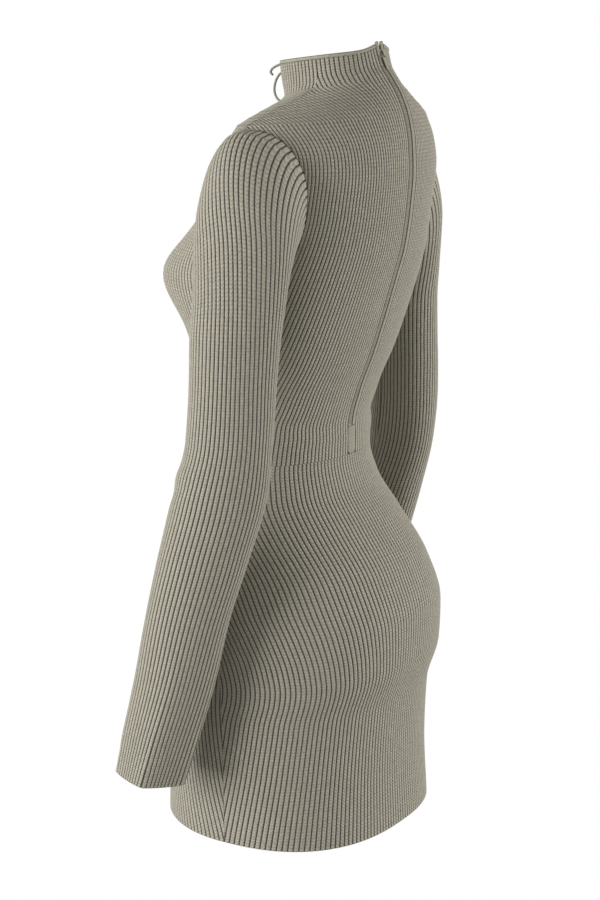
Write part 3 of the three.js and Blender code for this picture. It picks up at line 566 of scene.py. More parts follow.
def add_half(shell, name_of, rows, edge, walls, open_above, flipped):
    """Adds half of a ribbed panel, with walls along named edges and along an open centre."""
    outer = add_skin(shell, name_of, "outer", rows, edge, flipped)
    inner = add_skin(shell, name_of, "inner", rows, edge, not flipped)
    for wall in walls:
        add_wall(shell, name_of, outer[wall], inner[wall], 1 if wall == "seam" else 0, flipped)
    ends = [[knot for knot in skin["centre"] if knot[1] >= open_above][::-1] for skin in (outer, inner)]
    add_wall(shell, name_of, *ends, 1, flipped)


# Soft troughs and ridges: a place along the girth (or degrees round a sleeve), its level (or
# height up the sleeve), its lean, its two reaches and its depth.
FOLDS = {
    "back": (
        ("along", "level", "lean", "long", "short", "depth"),
        (95, -335, 8, 60, 7, -1.6),
        (80, -352, 5, 70, 6, 1.2),
    ),
    "front": (
        ("along", "level", "lean", "long", "short", "depth"),
        (90, -330, -6, 60, 8, -1.2),
    ),
    "sleeve": (
        ("turn", "height", "lean", "long", "short", "depth"),
        (-100, 330, 10, 60, 9, -1.5),
        (-100, 352, 8, 60, 8, 1.2),
    ),
}


def slit_gape(level):
    return SLIT_GAPE * np.maximum(0, level - SLIT_END) / (COLLAR_TOP - SLIT_END)


STARTS = {
    "back": lambda level: np.full_like(np.asarray(level, float), ZIP_CLEAR),
    "front": slit_gape,
    "skirt": lambda level: np.zeros_like(np.asarray(level, float)),
}


def lifts(knit, ribs, skins):
    """How far each knot stands off the body: the wall, with its ribs on the outside."""
    return np.where(skins, knit.wall + knit.rib * relief(ribs), knit.inside)


def folds_at(along, level, table):
    """Soft troughs and ridges of the worn cloth."""
    out = np.zeros_like(along)
    for middle, height, lean, long, short, depth in table[1:]:
        angle = math.radians(lean)
        u = (along - middle) * math.cos(angle) + (level - height) * math.sin(angle)
        v = -(along - middle) * math.sin(angle) + (level - height) * math.cos(angle)
        out += depth * np.exp(-((u / long) ** 2) - (v / short) ** 2)
    return out


def body_places(knit, centre, start, ribs, levels, edges, skins):
    """Places of a body panel's knots on the left side."""
    pitch = read(RIB_PITCH, levels)[centre]
    edge = edge_along(centre, levels)
    along = np.where(edges, edge, STARTS[start](levels) + ribs * pitch)
    height = (levels - HOLE_MIDDLE) / (HOLE_HALF + SEAM)
    turn = np.arccos(np.clip(height, -1, 1)) * (1 if centre == "back" else -1)
    turned = np.where(np.abs(height) <= 1, np.clip(1 - (edge - along) / NORMAL_BLEND, 0, 1), 0)
    normal = figure.normal(centre, along, levels)
    near = turned > 0
    mixed = normal[near] * (1 - turned[near, None]) + hole_normal(turn[near]) * turned[near, None]
    normal[near] = unit(mixed)
    lift = lifts(knit, ribs, skins) + folds_at(along, levels, FOLDS[centre])
    return figure.point(centre, along, levels) + normal * lift[:, None]


def sleeve_places(knit, half, ribs, runs, edges, skins):
    """Places of the left sleeve's knots."""
    side = math.pi if half == "back" else -math.pi
    spread = read(SLEEVE_RIBS, runs)
    share = np.where(edges, 1, ribs / spread["ribs"])
    turn = side * (share - spread["even"] / math.pi * np.sin(2 * math.pi * share))
    normal = sleeve_normal(turn, runs)
    at_hole = runs == 1
    normal[at_hole] = hole_normal(turn[at_hole])
    lift = lifts(knit, ribs, skins) + folds_at(np.degrees(turn), runs * SLEEVE_LENGTH, FOLDS["sleeve"])
    return sleeve_point(turn, runs) + normal * lift[:, None]


def even_rows(low, high, spacing):
    return list(np.linspace(low, high, max(2, round((high - low) / spacing)) + 1))


def hole_levels(turns):
    return [HOLE_MIDDLE + (HOLE_HALF + SEAM) * math.cos(math.radians(turn)) for turn in turns]


def body_edge(centre, start, levels):
    """The side seam's knots: their rib numbers say which ribs the seam cuts."""
    levels = np.array(levels)
    ribs = (edge_along(centre, levels) - STARTS[start](levels)) / read(RIB_PITCH, levels)[centre]
    return [(clear_of_columns(rib), level, True) for rib, level in zip(ribs, levels)]


def shell_object(name, shell, places, uvs, material):
    """A mesh of the shell's faces, turned to face out."""
    faces = np.array(shell.faces, int)
    a, b, c = places[faces[:, 0]], places[faces[:, 1]], places[faces[:, 2]]
    if np.einsum("ij,ij->i", a, np.cross(b, c)).sum() < 0:
        faces = faces[:, ::-1]
    return mesh_object(name, places * MM, faces, material, uvs)


# The angles in degrees from which edges look sharp.
SHARP_FROM = {"cloth": 60, "enamel": 40}


def placed(name, data):
    """A new object in the scene."""
    obj = bpy.data.objects.new(name, data)
    bpy.context.scene.collection.objects.link(obj)
    return obj


def evaluated_mesh(obj):
    """The object's mesh with its modifiers applied."""
    bpy.context.view_layer.update()
    return bpy.data.meshes.new_from_object(obj.evaluated_get(bpy.context.evaluated_depsgraph_get()))


def mesh_object(name, places, faces, material, uvs=None, smooth=True):
    mesh = bpy.data.meshes.new(name)
    mesh.from_pydata(np.asarray(places).tolist(), [], [list(map(int, f)) for f in faces])
    if uvs is not None:
        layer = mesh.uv_layers.new(name="knit")
        corners = np.zeros(len(mesh.loops), int)
        mesh.loops.foreach_get("vertex_index", corners)
        layer.data.foreach_set("uv", np.asarray(uvs)[corners].ravel())
    if smooth:
        mesh.shade_smooth()
        mesh.set_sharp_from_angle(angle=math.radians(SHARP_FROM["cloth"]))
    mesh.materials.append(material)
    return placed(name, mesh)


def mirrored(places):
    return places * np.array([-1, 1, 1])


def knit_panel(name, knit, halves, material):
    """A body panel of halves (side, centre, start, rows, edge levels, where its centre opens)."""
    shell = Shell()
    for side, centre, start, rows, levels, open_above in halves:

        def name_of(knot, side=side, open_above=open_above):
            return "shared" if knot[0] == 0 and knot[1] <= open_above and not knot[2] else side

        edge = body_edge(centre, start, levels)
        add_half(shell, name_of, rows, edge, ("bottom", "seam", "top"), open_above, side == "right")
    centre, start = halves[0][1:3]
    names, skins, ribs, levels, edges = shell.columns()
    right = names == "right"
    places = body_places(knit, centre, start, ribs, levels, edges, skins)
    places[right] = mirrored(places[right])
    uvs = np.stack([np.where(right, -ribs, ribs), levels / knit.stitch], axis=-1)
    return shell_object(name, shell, places, uvs, material)


def knit_sleeve(name, knit, side, material):
    """A sleeve of two halves that share their outer line and their underarm seam."""
    shell = Shell()
    rows = even_rows(0, 1, knit.row / SLEEVE_LENGTH)
    rows = rows[:-1] + [1 - (1 - rows[-2]) / 3, 1.0]
    counts = read(SLEEVE_RIBS, np.array(rows))["ribs"]
    edge = [(clear_of_columns(rib), run, True) for rib, run in zip(counts, rows)]
    for half in ("back", "front"):

        def name_of(knot, half=half):
            return "shared" if knot[0] == 0 or knot[2] else half

        add_half(shell, name_of, rows, edge, ("bottom", "top"), math.inf, half == "front")
    names, skins, ribs, runs, edges = shell.columns()
    front = names == "front"
    places = np.zeros((len(ribs), 3))
    for half, chosen in (("back", ~front), ("front", front)):
        places[chosen] = sleeve_places(knit, half, ribs[chosen], runs[chosen], edges[chosen], skins[chosen])
    if side == "right":
        places = mirrored(places)
    uvs = np.stack([np.where(front, -ribs, ribs), runs * SLEEVE_LENGTH / knit.stitch], axis=-1)
    return shell_object(name, shell, places, uvs, material)


def bar(rings):
    """Places and faces of a bar through rings of points, closed by a cap at each end."""
    rings = np.array(rings)
    count, sides = rings.shape[:2]
    faces = []
    for i in range(count - 1):
        for j in range(sides):
            k = (j + 1) % sides
            faces.append((i * sides + j, i * sides + k, (i + 1) * sides + k, (i + 1) * sides + j))
    faces.append(tuple(range(sides))[::-1])
    faces.append(tuple((count - 1) * sides + j for j in range(sides)))
    places = rings.reshape(-1, 3)
    volume = 0
    for face in faces:
        for a, b in zip(face[1:], face[2:]):
            volume += np.dot(places[face[0]], np.cross(places[a], places[b]))
    if volume < 0:
        faces = [face[::-1] for face in faces]
    return places, faces


def on_body(along, level, lift):
    """Points that stand off the body by a lift, at lengths of girth from the centre back."""
    along, level, lift = np.broadcast_arrays(*[np.asarray(v, float) for v in (along, level, lift)])
    return figure.point("back", along, level) + figure.normal("back", along, level) * lift[..., None]


def rounded_section(near, far, thick, corner, steps=4):
    """A strip's section from near to far, flat below and with rounded upper corners."""
    turns = np.linspace(0, math.pi / 2, steps)
    left = [(near + corner * (1 - math.sin(t)), thick - corner * (1 - math.cos(t))) for t in turns[::-1]]
    right = [(far - corner * (1 - math.sin(t)), thick - corner * (1 - math.cos(t))) for t in turns]
    return [(near, 0), *left, *right, (far, 0)]


def bar_object(name, rings, material, uvs=None):
    places, faces = bar(rings)
    return mesh_object(name, places * MM, faces, material, uvs)


def lengths_along(points):
    """Length from the first point of a line to each of its points."""
    return np.concatenate([[0], np.cumsum(np.linalg.norm(np.diff(points, axis=0), axis=1))])


def ring_uvs(rings, stitch):
    """UVs of a bar, across its section and along its length, in stitches."""
    rings = np.array(rings)
    along = np.repeat(lengths_along(rings.mean(axis=1))[:, None], rings.shape[1], 1)
    round_it = np.linalg.norm(rings - rings[:, :1], axis=2)
    return np.stack([round_it, along], axis=-1).reshape(-1, 2) / stitch


def strip_object(name, rings, side, material, stitch=JERSEY_STITCH):
    """A strip through rings made on the left, mirrored for the right."""
    rings = [mirrored(ring) if side == "right" else ring for ring in rings]
    return bar_object(name, rings, material, ring_uvs(rings, stitch))


def collar_binding(trim, side, material):
    total = float(figure.at(figure.total, COLLAR_TOP))
    section = rounded_section(BINDING["gap"], trim.binding, BINDING["thick"], BINDING["corner"])
    up, lift = np.array(section).T
    places = np.linspace(ZIP_CLEAR, total - SLIT_GAPE, BINDING["rings"])
    rings = [on_body(along, COLLAR_TOP + up, lift) for along in places]
    return strip_object(f"collar_binding_{side}_cloth", rings, side, material)


def band_rows():
    """Levels of a zip band with its edges: its top is rounded and stands over the collar."""
    low, top, near = BAND["slider"], BAND["top"], BAND_TOP["near"]
    rows = [(level, BAND["near"], BAND["far"]) for level in even_rows(BAND["bottom"], low, 5)]
    rows += [(low + 1, 1.5, BAND["far"]), (low + 2, 1.9, BAND["far"]), (low + 3, near, BAND["far"])]
    rows += [(level, near, BAND["far"]) for level in even_rows(low + 5, top, 3)]
    for turn in np.radians(np.linspace(15, 90, 7)):
        shrink = BAND_TOP["shrink"] * (1 - math.cos(turn))
        rows.append((top + BAND_TOP["rise"] * math.sin(turn), near + shrink, BAND["far"] - shrink))
    return rows


def cross_ring(section, level):
    """A ring across the centre back from a section of (length of girth, lift)."""
    across, lift = np.array(section).T
    return on_body(across, level, lift)


def zip_band(side, material):
    rings = [
        cross_ring(rounded_section(near, far, BAND["thick"], BAND["corner"]), level)
        for level, near, far in band_rows()
    ]
    return strip_object(f"zip_band_{side}_cloth", rings, side, material)


def zip_end_tab(material):
    rings = []
    for level in even_rows(END_TAB["low"], END_TAB["high"], 1.6):
        rise = min(level - END_TAB["low"], END_TAB["round"]) / END_TAB["round"]
        half = END_TAB["half"] - END_TAB["narrow"] * (1 - math.sqrt(1 - (1 - rise) ** 2))
        rings.append(cross_ring(rounded_section(-half, half, END_TAB["thick"], END_TAB["corner"]), level))
    return strip_object("zip_end_tab_cloth", rings, "centre", material)


def zip_tape(material):
    rings = [cross_ring(TAPE_SECTION, level) for level in even_rows(BAND["bottom"], BAND["top"], 6)]
    return strip_object("zip_tape_cloth", rings, "centre", material, TAPE_STITCH)


def lace_points():
    """Even points along the smooth curve through the lace's route, the CAD's own curve."""
    route = np.array(LACE_ROUTE, float)
    ends = [2 * route[0] - route[1], *route, 2 * route[-1] - route[-2]]
    fine = []
    for p0, p1, p2, p3 in zip(ends, ends[1:], ends[2:], ends[3:]):
        gaps = [max(np.linalg.norm(q - p) ** 0.5, 1e-6) for p, q in ((p0, p1), (p1, p2), (p2, p3))]
        t1 = ((p1 - p0) / gaps[0] - (p2 - p0) / (gaps[0] + gaps[1]) + (p2 - p1) / gaps[1]) * gaps[1]
        t2 = ((p2 - p1) / gaps[1] - (p3 - p1) / (gaps[1] + gaps[2]) + (p3 - p2) / gaps[2]) * gaps[1]
        shares = np.linspace(0, 1, LACE["steps"], endpoint=False)[:, None]
        fine.append(hermite(shares, p1, t1, p2, t2))
    fine = np.vstack([*fine, route[-1:]])
    lengths = lengths_along(fine)
    even = np.linspace(0, lengths[-1], LACE["points"])
    return np.stack([np.interp(even, lengths, fine[:, k]) for k in range(3)], axis=-1), lengths[-1]


def tube_rings(points, radius_at, sides):
    """Rings round a line of points, carried along it without twist."""
    tangents = unit(np.gradient(points, axis=0))
    normal = unit(np.cross(tangents[0], [0.3, 0.2, 1.0]))
    rings, directions = [], []
    for point, tangent in zip(points, tangents):
        normal = unit(normal - tangent * np.dot(normal, tangent))
        binormal = np.cross(tangent, normal)
        turns = np.linspace(0, 2 * math.pi, sides, endpoint=False)
        directions.append(turns)
        rings.append([point + (normal * math.cos(t) + binormal * math.sin(t)) for t in turns])
    rings = np.array(rings)
    offsets = rings - points[:, None, :]
    along = np.arange(len(points))[:, None]
    return points[:, None, :] + offsets * radius_at(np.array(directions), along)[..., None]


def lace(trim, material):
    """A knitted cord with lengthwise wales, rounded at its cut end."""
    points, length = lace_points()
    count, sides, wales = LACE["points"], LACE["sides"], LACE_KNIT["wales"]

    def radius_at(turns, along):
        ends = np.minimum(1, np.minimum(along, count - 1 - along) / LACE["taper"] + LACE["end"])
        return trim.lace / 2 * ends * (1 - LACE_KNIT["groove"] * np.abs(np.cos(wales / 2 * turns)) ** 4)

    rings = tube_rings(points, radius_at, sides)
    across = np.tile(np.arange(sides) * wales / sides, count)
    along = np.repeat(np.linspace(0, length / LACE_KNIT["stitch"], count), sides)
    obj = bar_object("lace_cord", rings, material, np.stack([across, along], axis=-1))
    return obj, points, length


def linear(code):
    """Linear colour from an sRGB hex code."""
    parts = [int(code[i : i + 2], 16) / 255 for i in (0, 2, 4)]
    return tuple(c / 12.92 if c <= 0.04045 else ((c + 0.055) / 1.055) ** 2.4 for c in parts)


class Tree:
    """Makes a material's nodes, with numbers set on sockets and other nodes linked."""

    def __init__(self, name):
        self.material = bpy.data.materials.new(name)
        self.material.use_nodes = True
        self.tree = self.material.node_tree
        self.shader = self.tree.nodes["Principled BSDF"]

    def node(self, kind, inputs=(), **settings):
        made = self.tree.nodes.new(kind)
        for name, value in settings.items():
            setattr(made, name, value)
        for key, value in dict(inputs).items():
            self.put(made.inputs[key], value)
        return made

    def put(self, socket, value):
        if isinstance(value, bpy.types.NodeSocket):
            self.tree.links.new(value, socket)
        elif isinstance(value, tuple) and len(value) == 3 and socket.type == "RGBA":
            socket.default_value = (*value, 1)
        else:
            socket.default_value = value

    def finished(self, surface):
        """The material, with values or sockets put on its surface."""
        for name, value in surface.items():
            self.put(self.shader.inputs[name], value)
        return self.material

    def math(self, operation, a, b=0.0, c=0.0):
        made = self.node("ShaderNodeMath", operation=operation)
        for socket, value in zip(made.inputs, (a, b, c)):
            self.put(socket, value)
        return made.outputs[0]

    def ramp(self, value, low, high, out_low=0.0, out_high=1.0):
        inputs = {0: value, 1: low, 2: high, 3: out_low, 4: out_high}
        return self.node("ShaderNodeMapRange", inputs, interpolation_type="SMOOTHSTEP").outputs[0]

    def mix(self, share, a, b, blend="MIX"):
        made = self.node("ShaderNodeMix", data_type="RGBA", blend_type=blend)
        for index, value in ((0, share), (6, a), (7, b)):
            self.put(made.inputs[index], value)
        return made.outputs[2]

    def noise(self, scale, detail=2.0):
        place = self.node("ShaderNodeTexCoord").outputs["Object"]
        inputs = {"Vector": place, "Scale": scale, "Detail": detail}
        return self.node("ShaderNodeTexNoise", inputs).outputs["Fac"]


def knit_material(name, top, groove, ribbed, stitch_depth):
    """Stocking-stitch wales: a V of two legs in each, on ribs or on a smooth band, with shade painted into
    the colour of the grooves and of the stitches' hollows.
    """
    t = Tree(name)
    place = t.node("ShaderNodeUVMap", uv_map="knit").outputs[0]
    split = t.node("ShaderNodeSeparateXYZ", {0: place})
    u, v = split.outputs[0], split.outputs[1]
    across = t.math("ABSOLUTE", t.math("MULTIPLY_ADD", t.math("FRACT", u), 2.0, -1.0))
    row = t.math("MULTIPLY_ADD", across, -0.55, v)
    leg = t.ramp(t.math("ABSOLUTE", t.math("MULTIPLY_ADD", t.math("FRACT", row), 2.0, -1.0)), 1.0, 0.35)
    valley = t.ramp(across, 0.0, 0.22)
    wale = t.math("MULTIPLY", leg, t.math("MULTIPLY_ADD", valley, 0.45, 0.55))
    shade = t.ramp(across, 0.5 if ribbed else 0.75, 1.0)
    fibre = t.noise(2600.0, 3.0)
    melange = t.noise(420.0, 4.0)
    height = t.math("MULTIPLY_ADD", fibre, 0.35, wale)
    if not ribbed:
        height = t.math("SUBTRACT", height, t.math("MULTIPLY", shade, 0.6))
    # Painted shade: towards each groove the colour turns to the dark groove colour, where shade falls
    # between the ribs (on the smooth band, towards each wale's edge).
    colour = t.mix(shade, top, groove)
    # Painted shade: where a stitch's relief is low, between the V's legs and along the wale's centre line,
    # up to 30% of the dark groove colour is mixed in.
    colour = t.mix(t.ramp(wale, 0.0, 0.8, 0.3, 0.0), colour, groove)
    pale = t.mix(1.0, colour, (1.12, 1.12, 1.12), "MULTIPLY")
    dull = t.mix(1.0, colour, (0.88, 0.88, 0.88), "MULTIPLY")
    colour = t.mix(t.ramp(melange, 0.3, 0.7), dull, pale)
    bump = t.node("ShaderNodeBump", {"Strength": 0.9, "Distance": stitch_depth, "Height": height})
    surface = {
        "Base Color": colour,
        "Roughness": 0.95,
        "Specular IOR Level": 0.15,
        "Sheen Weight": 0.2,
        "Sheen Roughness": 0.6,
        "Sheen Tint": top,
        "Normal": bump.outputs[0],
    }
    return t.finished(surface)


def plain_material(name, colour, roughness, grain, depth):
    """One colour with a fine grain in its colour, roughness and surface."""
    t = Tree(name)
    fine = t.noise(grain, 3.0)
    darker = tuple(c * 0.8 for c in colour)
    bump = t.node("ShaderNodeBump", {"Strength": 0.6, "Distance": depth, "Height": fine})
    surface = {
        "Base Color": t.mix(fine, darker, colour),
        "Roughness": t.ramp(fine, 0.0, 1.0, roughness - 0.08, roughness + 0.08),
        "Normal": bump.outputs[0],
    }
    return t.finished(surface)


def glow_material(name, seen, cast):
    """Plain white that the camera sees as seen and that lights the dress as cast."""
    t = Tree(name)
    camera = t.node("ShaderNodeLightPath").outputs["Is Camera Ray"]
    strength = t.math("MULTIPLY_ADD", camera, seen - cast, cast)
    glow = t.node("ShaderNodeEmission", {"Color": (1.0, 1.0, 1.0, 1.0), "Strength": strength})
    t.tree.links.new(glow.outputs[0], t.tree.nodes["Material Output"].inputs["Surface"])
    t.tree.nodes.remove(t.shader)
    return t.material


def repeats_tree():
    """Node group: small rounded pieces at even steps along a line, such as stitches or teeth."""
    group = bpy.data.node_groups.new("Repeats", "GeometryNodeTree")
    face = group.interface
    face.new_socket("Geometry", in_out="INPUT", socket_type="NodeSocketGeometry")
    face.new_socket("Geometry", in_out="OUTPUT", socket_type="NodeSocketGeometry")
    for name, kind in (
        ("Spacing", "NodeSocketFloat"),
        ("Size", "NodeSocketVector"),
        ("Seed", "NodeSocketInt"),
        ("Material", "NodeSocketMaterial"),
    ):
        face.new_socket(name, in_out="INPUT", socket_type=kind)
    new, link = group.nodes.new, group.links.new
    source, result = new("NodeGroupInput"), new("NodeGroupOutput")
    curve, points = new("GeometryNodeMeshToCurve"), new("GeometryNodeCurveToPoints")
    points.mode = "LENGTH"
    ball, scatter = new("GeometryNodeMeshUVSphere"), new("GeometryNodeInstanceOnPoints")
    ball.inputs["Segments"].default_value = 8
    ball.inputs["Rings"].default_value = 6
    ball.inputs["Radius"].default_value = 0.5
    vary = new("FunctionNodeRandomValue")
    vary.data_type = "FLOAT"
    vary.inputs[2].default_value, vary.inputs[3].default_value = 0.93, 1.07
    scale = new("ShaderNodeVectorMath")
    scale.operation = "SCALE"
    real, paint = new("GeometryNodeRealizeInstances"), new("GeometryNodeSetMaterial")
    link(source.outputs["Geometry"], curve.inputs[0])
    link(curve.outputs[0], points.inputs["Curve"])
    link(source.outputs["Spacing"], points.inputs["Length"])
    link(points.outputs["Points"], scatter.inputs["Points"])
    link(ball.outputs["Mesh"], scatter.inputs["Instance"])
    link(source.outputs["Seed"], vary.inputs["Seed"])
    link(source.outputs["Size"], scale.inputs[0])
    link(vary.outputs[1], scale.inputs["Scale"])
    link(scale.outputs[0], scatter.inputs["Scale"])
    link(scatter.outputs[0], real.inputs[0])
    link(real.outputs[0], paint.inputs["Geometry"])
    link(source.outputs["Material"], paint.inputs["Material"])
    link(paint.outputs[0], result.inputs[0])
    return group


def repeats(name, line, spacing, size, seed, material):
    """A plain mesh of pieces repeated along a line of points in millimetres."""
    tree = bpy.data.node_groups.get("Repeats") or repeats_tree()
    mesh = bpy.data.meshes.new(name + "_line")
    mesh.from_pydata((np.array(line) * MM).tolist(), [(i, i + 1) for i in range(len(line) - 1)], [])
    host = placed(name + "_line", mesh)
    modifier = host.modifiers.new("Repeats", "NODES")
    modifier.node_group = tree
    values = {
        "Spacing": spacing * MM,
        "Size": [v * MM for v in size],
        "Seed": seed,
        "Material": material,
    }
    for item in tree.interface.items_tree:
        if item.in_out == "INPUT" and item.name in values:
            modifier[item.identifier] = values[item.name]
    made = evaluated_mesh(host)
    made.name = name
    bpy.data.objects.remove(host)
    bpy.data.meshes.remove(mesh)
    made.shade_smooth()
    return placed(name, made)


def finish_piece(obj, slot, *nodes, body="dress"):
    """Parents a piece to its body and hides the CAD nodes that it replaces; the slot is not used."""
    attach(obj, body)
    if nodes:
        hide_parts(*nodes)


def smoothed_node(node, name, width, material):
    """A copy of a CAD node with its edges rounded."""
    obj = placed(name, NODES[node].data.copy())
    bevel = obj.modifiers.new("Round", "BEVEL")
    bevel.width, bevel.segments, bevel.limit_method = width * MM, 2, "ANGLE"
    made = evaluated_mesh(obj)
    obj.modifiers.clear()
    obj.data = made
    made.materials.clear()
    made.materials.append(material)
    made.shade_smooth()
    made.set_sharp_from_angle(angle=math.radians(SHARP_FROM["enamel"]))
    return obj


def body_cut(centre, start, low, high, halves):
    """The size and area of a body panel as cut, in metres."""
    levels = np.linspace(low, high, 300)
    widths = halves * (edge_along(centre, levels) - STARTS[start](levels)) * MM
    length = (high - low) * MM
    return (widths.max(), length), widths.mean() * length


def sleeve_cut():
    """The size and area of a sleeve as cut, in metres."""
    turns, runs = np.meshgrid(np.linspace(-math.pi, math.pi, 90), np.linspace(0, 1, 60))
    rings = sleeve_point(turns, runs)
    girths = np.linalg.norm(np.diff(rings, axis=1), axis=2).sum(axis=1) * MM
    length = SLEEVE_LENGTH * MM
    return (girths.max(), length), girths.mean() * length


def in_mm(group):
    """A property group's lengths as millimetres."""
    return SimpleNamespace(**{name: getattr(group, name) / MM for name in group.__annotations__})


def colour_of(context, name):
    return tuple(getattr(context.scene.dress_colours, name))


def material_of(context, name):
    """The named material, made once from the scene's colours."""
    found = bpy.data.materials.get(name)
    if found:
        return found
    if name in KNIT_FINISHES:
        part, ribbed, depth = KNIT_FINISHES[name]
        # The groove colour is painted shade for the knits' grooves and stitch hollows.
        groove = colour_of(context, "groove")
        return knit_material(name, colour_of(context, part), groove, ribbed, depth * MM)
    part, roughness, grain, depth = PLAIN_FINISHES[name]
    return plain_material(name, colour_of(context, part), roughness, grain, depth * MM)


def length_property(name, description, millimetres, low, high):
    return FloatProperty(
        name=name,
        description=description,
        default=millimetres * MM,
        min=low * MM,
        max=high * MM,
        precision=5,
        subtype="DISTANCE",
        unit="LENGTH",
    )


def colour_property(name, description, code):
    return FloatVectorProperty(
        name=name,
        description=description,
        default=linear(code),
        min=0.0,
        max=1.0,
        size=3,
        subtype="COLOR",
    )


def power_property(name, description, watts):
    return FloatProperty(name=name, description=description, default=watts, min=0.0, unit="POWER")


class DressKnit(bpy.types.PropertyGroup):
    """Sizes of the rib knit."""

    wall: length_property("Wall", "Height of the grooves over the body", 1.1, 0.6, 2.0)
    rib: length_property("Rib height", "How far a rib's top stands over its grooves", 1.3, 0.5, 2.0)
    inside: length_property("Inside", "Clearance of the cloth's inside", 0.1, 0.05, 0.5)
    row: length_property("Row spacing", "Height of a row of mesh faces", 7.0, 4.0, 20.0)
    stitch: length_property("Stitch height", "Height of a knitted stitch", 3.2, 2.0, 6.0)


class DressTrim(bpy.types.PropertyGroup):
    """Sizes of the bindings, stitches, zip and lace."""

    binding: length_property("Binding width", "Width of the collar's binding", 4.0, 3.0, 5.0)
    lace: length_property("Lace thickness", "Diameter of the lace", 2.6, 2.0, 3.0)
    ladder: length_property("Ladder spacing", "Spacing of the stitches beside the zip", 1.7, 1.0, 4.0)
    tooth: length_property("Tooth spacing", "Spacing of the zip's coil", 1.3, 0.8, 3.0)


class DressColours(bpy.types.PropertyGroup):
    """Base colours of the materials."""

    knit: colour_property("Rib tops", "Wool of the ribs' tops", "b0ab9c")
    # Painted shade: the groove colour is the rib wool darkened for the shade deep in the grooves and
    # between the stitches, not a darker yarn.
    groove: colour_property("Grooves", "Wool deep in the grooves", "4c4840")
    trim: colour_property("Bindings", "Smooth knit of bindings, bands and lace", "aaa595")
    thread: colour_property("Thread", "Stitches beside the zip", "c9c4b4")
    # Partly painted shade: the zip tape's colour is darkened past the tape's own, so that the tape and the
    # coil stand in for the shadow in the gap between the zip's bands. It also colours the teeth and the
    # ladder stitches.
    tape: colour_property("Zip tape", "Zip tape and teeth", "3a3730")
    enamel: colour_property("Slider", "Enamel of the slider and its pull tab", "a5a092")


class DressStage(bpy.types.PropertyGroup):
    """Light, floor and camera."""

    key: power_property("Key light", "Power of the light on the sleeve's side", 64.0)
    fill: power_property("Fill light", "Power of the light on the zip's side", 54.0)
    rim: power_property("Top light", "Power of the light above", 5.0)
    world: FloatProperty(name="Surround", description="Light from all round", default=0.43, min=0.0)
    lens: FloatProperty(
        name="Lens", description="Focal length", default=96.28, min=20.0, max=300.0, unit="CAMERA"
    )


# Turns of the armhole's knots in degrees, from its bottom up to its top, and where each skirt
# panel hangs from.
SEAM_TURNS = (180, 179, 177.5, *range(176, 4, -3), 2.5, 1, 0)
HUNG_FROM = {"back": ["back_left_cloth", "back_right_cloth"], "front": ["front_cloth"]}


def side_levels():
    """Levels of a bodice panel's side edge, through side seam, armhole and shoulder seam."""
    below = even_rows(WAIST + SEAM, HOLE_BOTTOM - SEAM, 7)[:-1]
    above = even_rows(HOLE_TOP + SEAM, COLLAR_TOP, 3)[1:]
    return below + hole_levels(SEAM_TURNS) + above


class DRESS_OT_bodice(bpy.types.Operator):
    """Builds the two back panels and the front"""

    bl_idname = "dress.bodice"
    bl_label = "Bodice"

    def execute(self, context):
        knit = in_mm(context.scene.dress_knit)
        wool = material_of(context, "Rib knit wool")
        levels = side_levels()
        rows = even_rows(WAIST + SEAM, COLLAR_TOP, knit.row)
        split = even_rows(WAIST + SEAM, SLIT_END, knit.row)
        split += even_rows(SLIT_END, COLLAR_TOP, knit.row)[1:]
        for side in ("left", "right"):
            half = (side, "back", "back", rows, levels, -math.inf)
            obj = knit_panel(f"back_{side}_cloth", knit, [half], wool)
            flat, area = body_cut("back", "back", WAIST, COLLAR_TOP, 1)
            finish_piece(obj, "rib_knit", f"back_{side}")
        halves = [(side, "front", "front", split, levels, SLIT_END) for side in ("left", "right")]
        obj = knit_panel("front_cloth", knit, halves, wool)
        flat, area = body_cut("front", "front", WAIST, COLLAR_TOP, 2)
        finish_piece(obj, "rib_knit", "front")
        return {"FINISHED"}


class DRESS_OT_skirt(bpy.types.Operator):
    """Builds the skirt's back and front"""

    bl_idname = "dress.skirt"
    bl_label = "Skirt"

    def execute(self, context):
        knit = in_mm(context.scene.dress_knit)
        wool = material_of(context, "Rib knit wool")
        rows = even_rows(HEM, WAIST - SEAM, knit.row)
        for centre, hung_from in HUNG_FROM.items():
            halves = [(side, centre, "skirt", rows, rows, math.inf) for side in ("left", "right")]
            obj = knit_panel(f"skirt_{centre}_cloth", knit, halves, wool)
            flat, area = body_cut(centre, "skirt", HEM, WAIST, 2)
            finish_piece(obj, "rib_knit", f"skirt_{centre}")
        return {"FINISHED"}


class DRESS_OT_sleeves(bpy.types.Operator):
    """Builds the two sleeves"""

    bl_idname = "dress.sleeves"
    bl_label = "Sleeves"

    def execute(self, context):
        knit = in_mm(context.scene.dress_knit)
        flat, area = sleeve_cut()
        for side in ("left", "right"):
            obj = knit_sleeve(f"sleeve_{side}_cloth", knit, side, material_of(context, "Rib knit wool"))
            finish_piece(obj, "rib_knit", f"sleeve_{side}")
        return {"FINISHED"}


class DRESS_OT_bindings(bpy.types.Operator):
    """Builds the collar's bindings"""

    bl_idname = "dress.bindings"
    bl_label = "Collar bindings"

    def execute(self, context):
        trim = in_mm(context.scene.dress_trim)
        for side in ("left", "right"):
            obj = collar_binding(trim, side, material_of(context, "Smooth knit jersey"))
            finish_piece(obj, "smooth_knit", f"collar_binding_{side}")
        return {"FINISHED"}


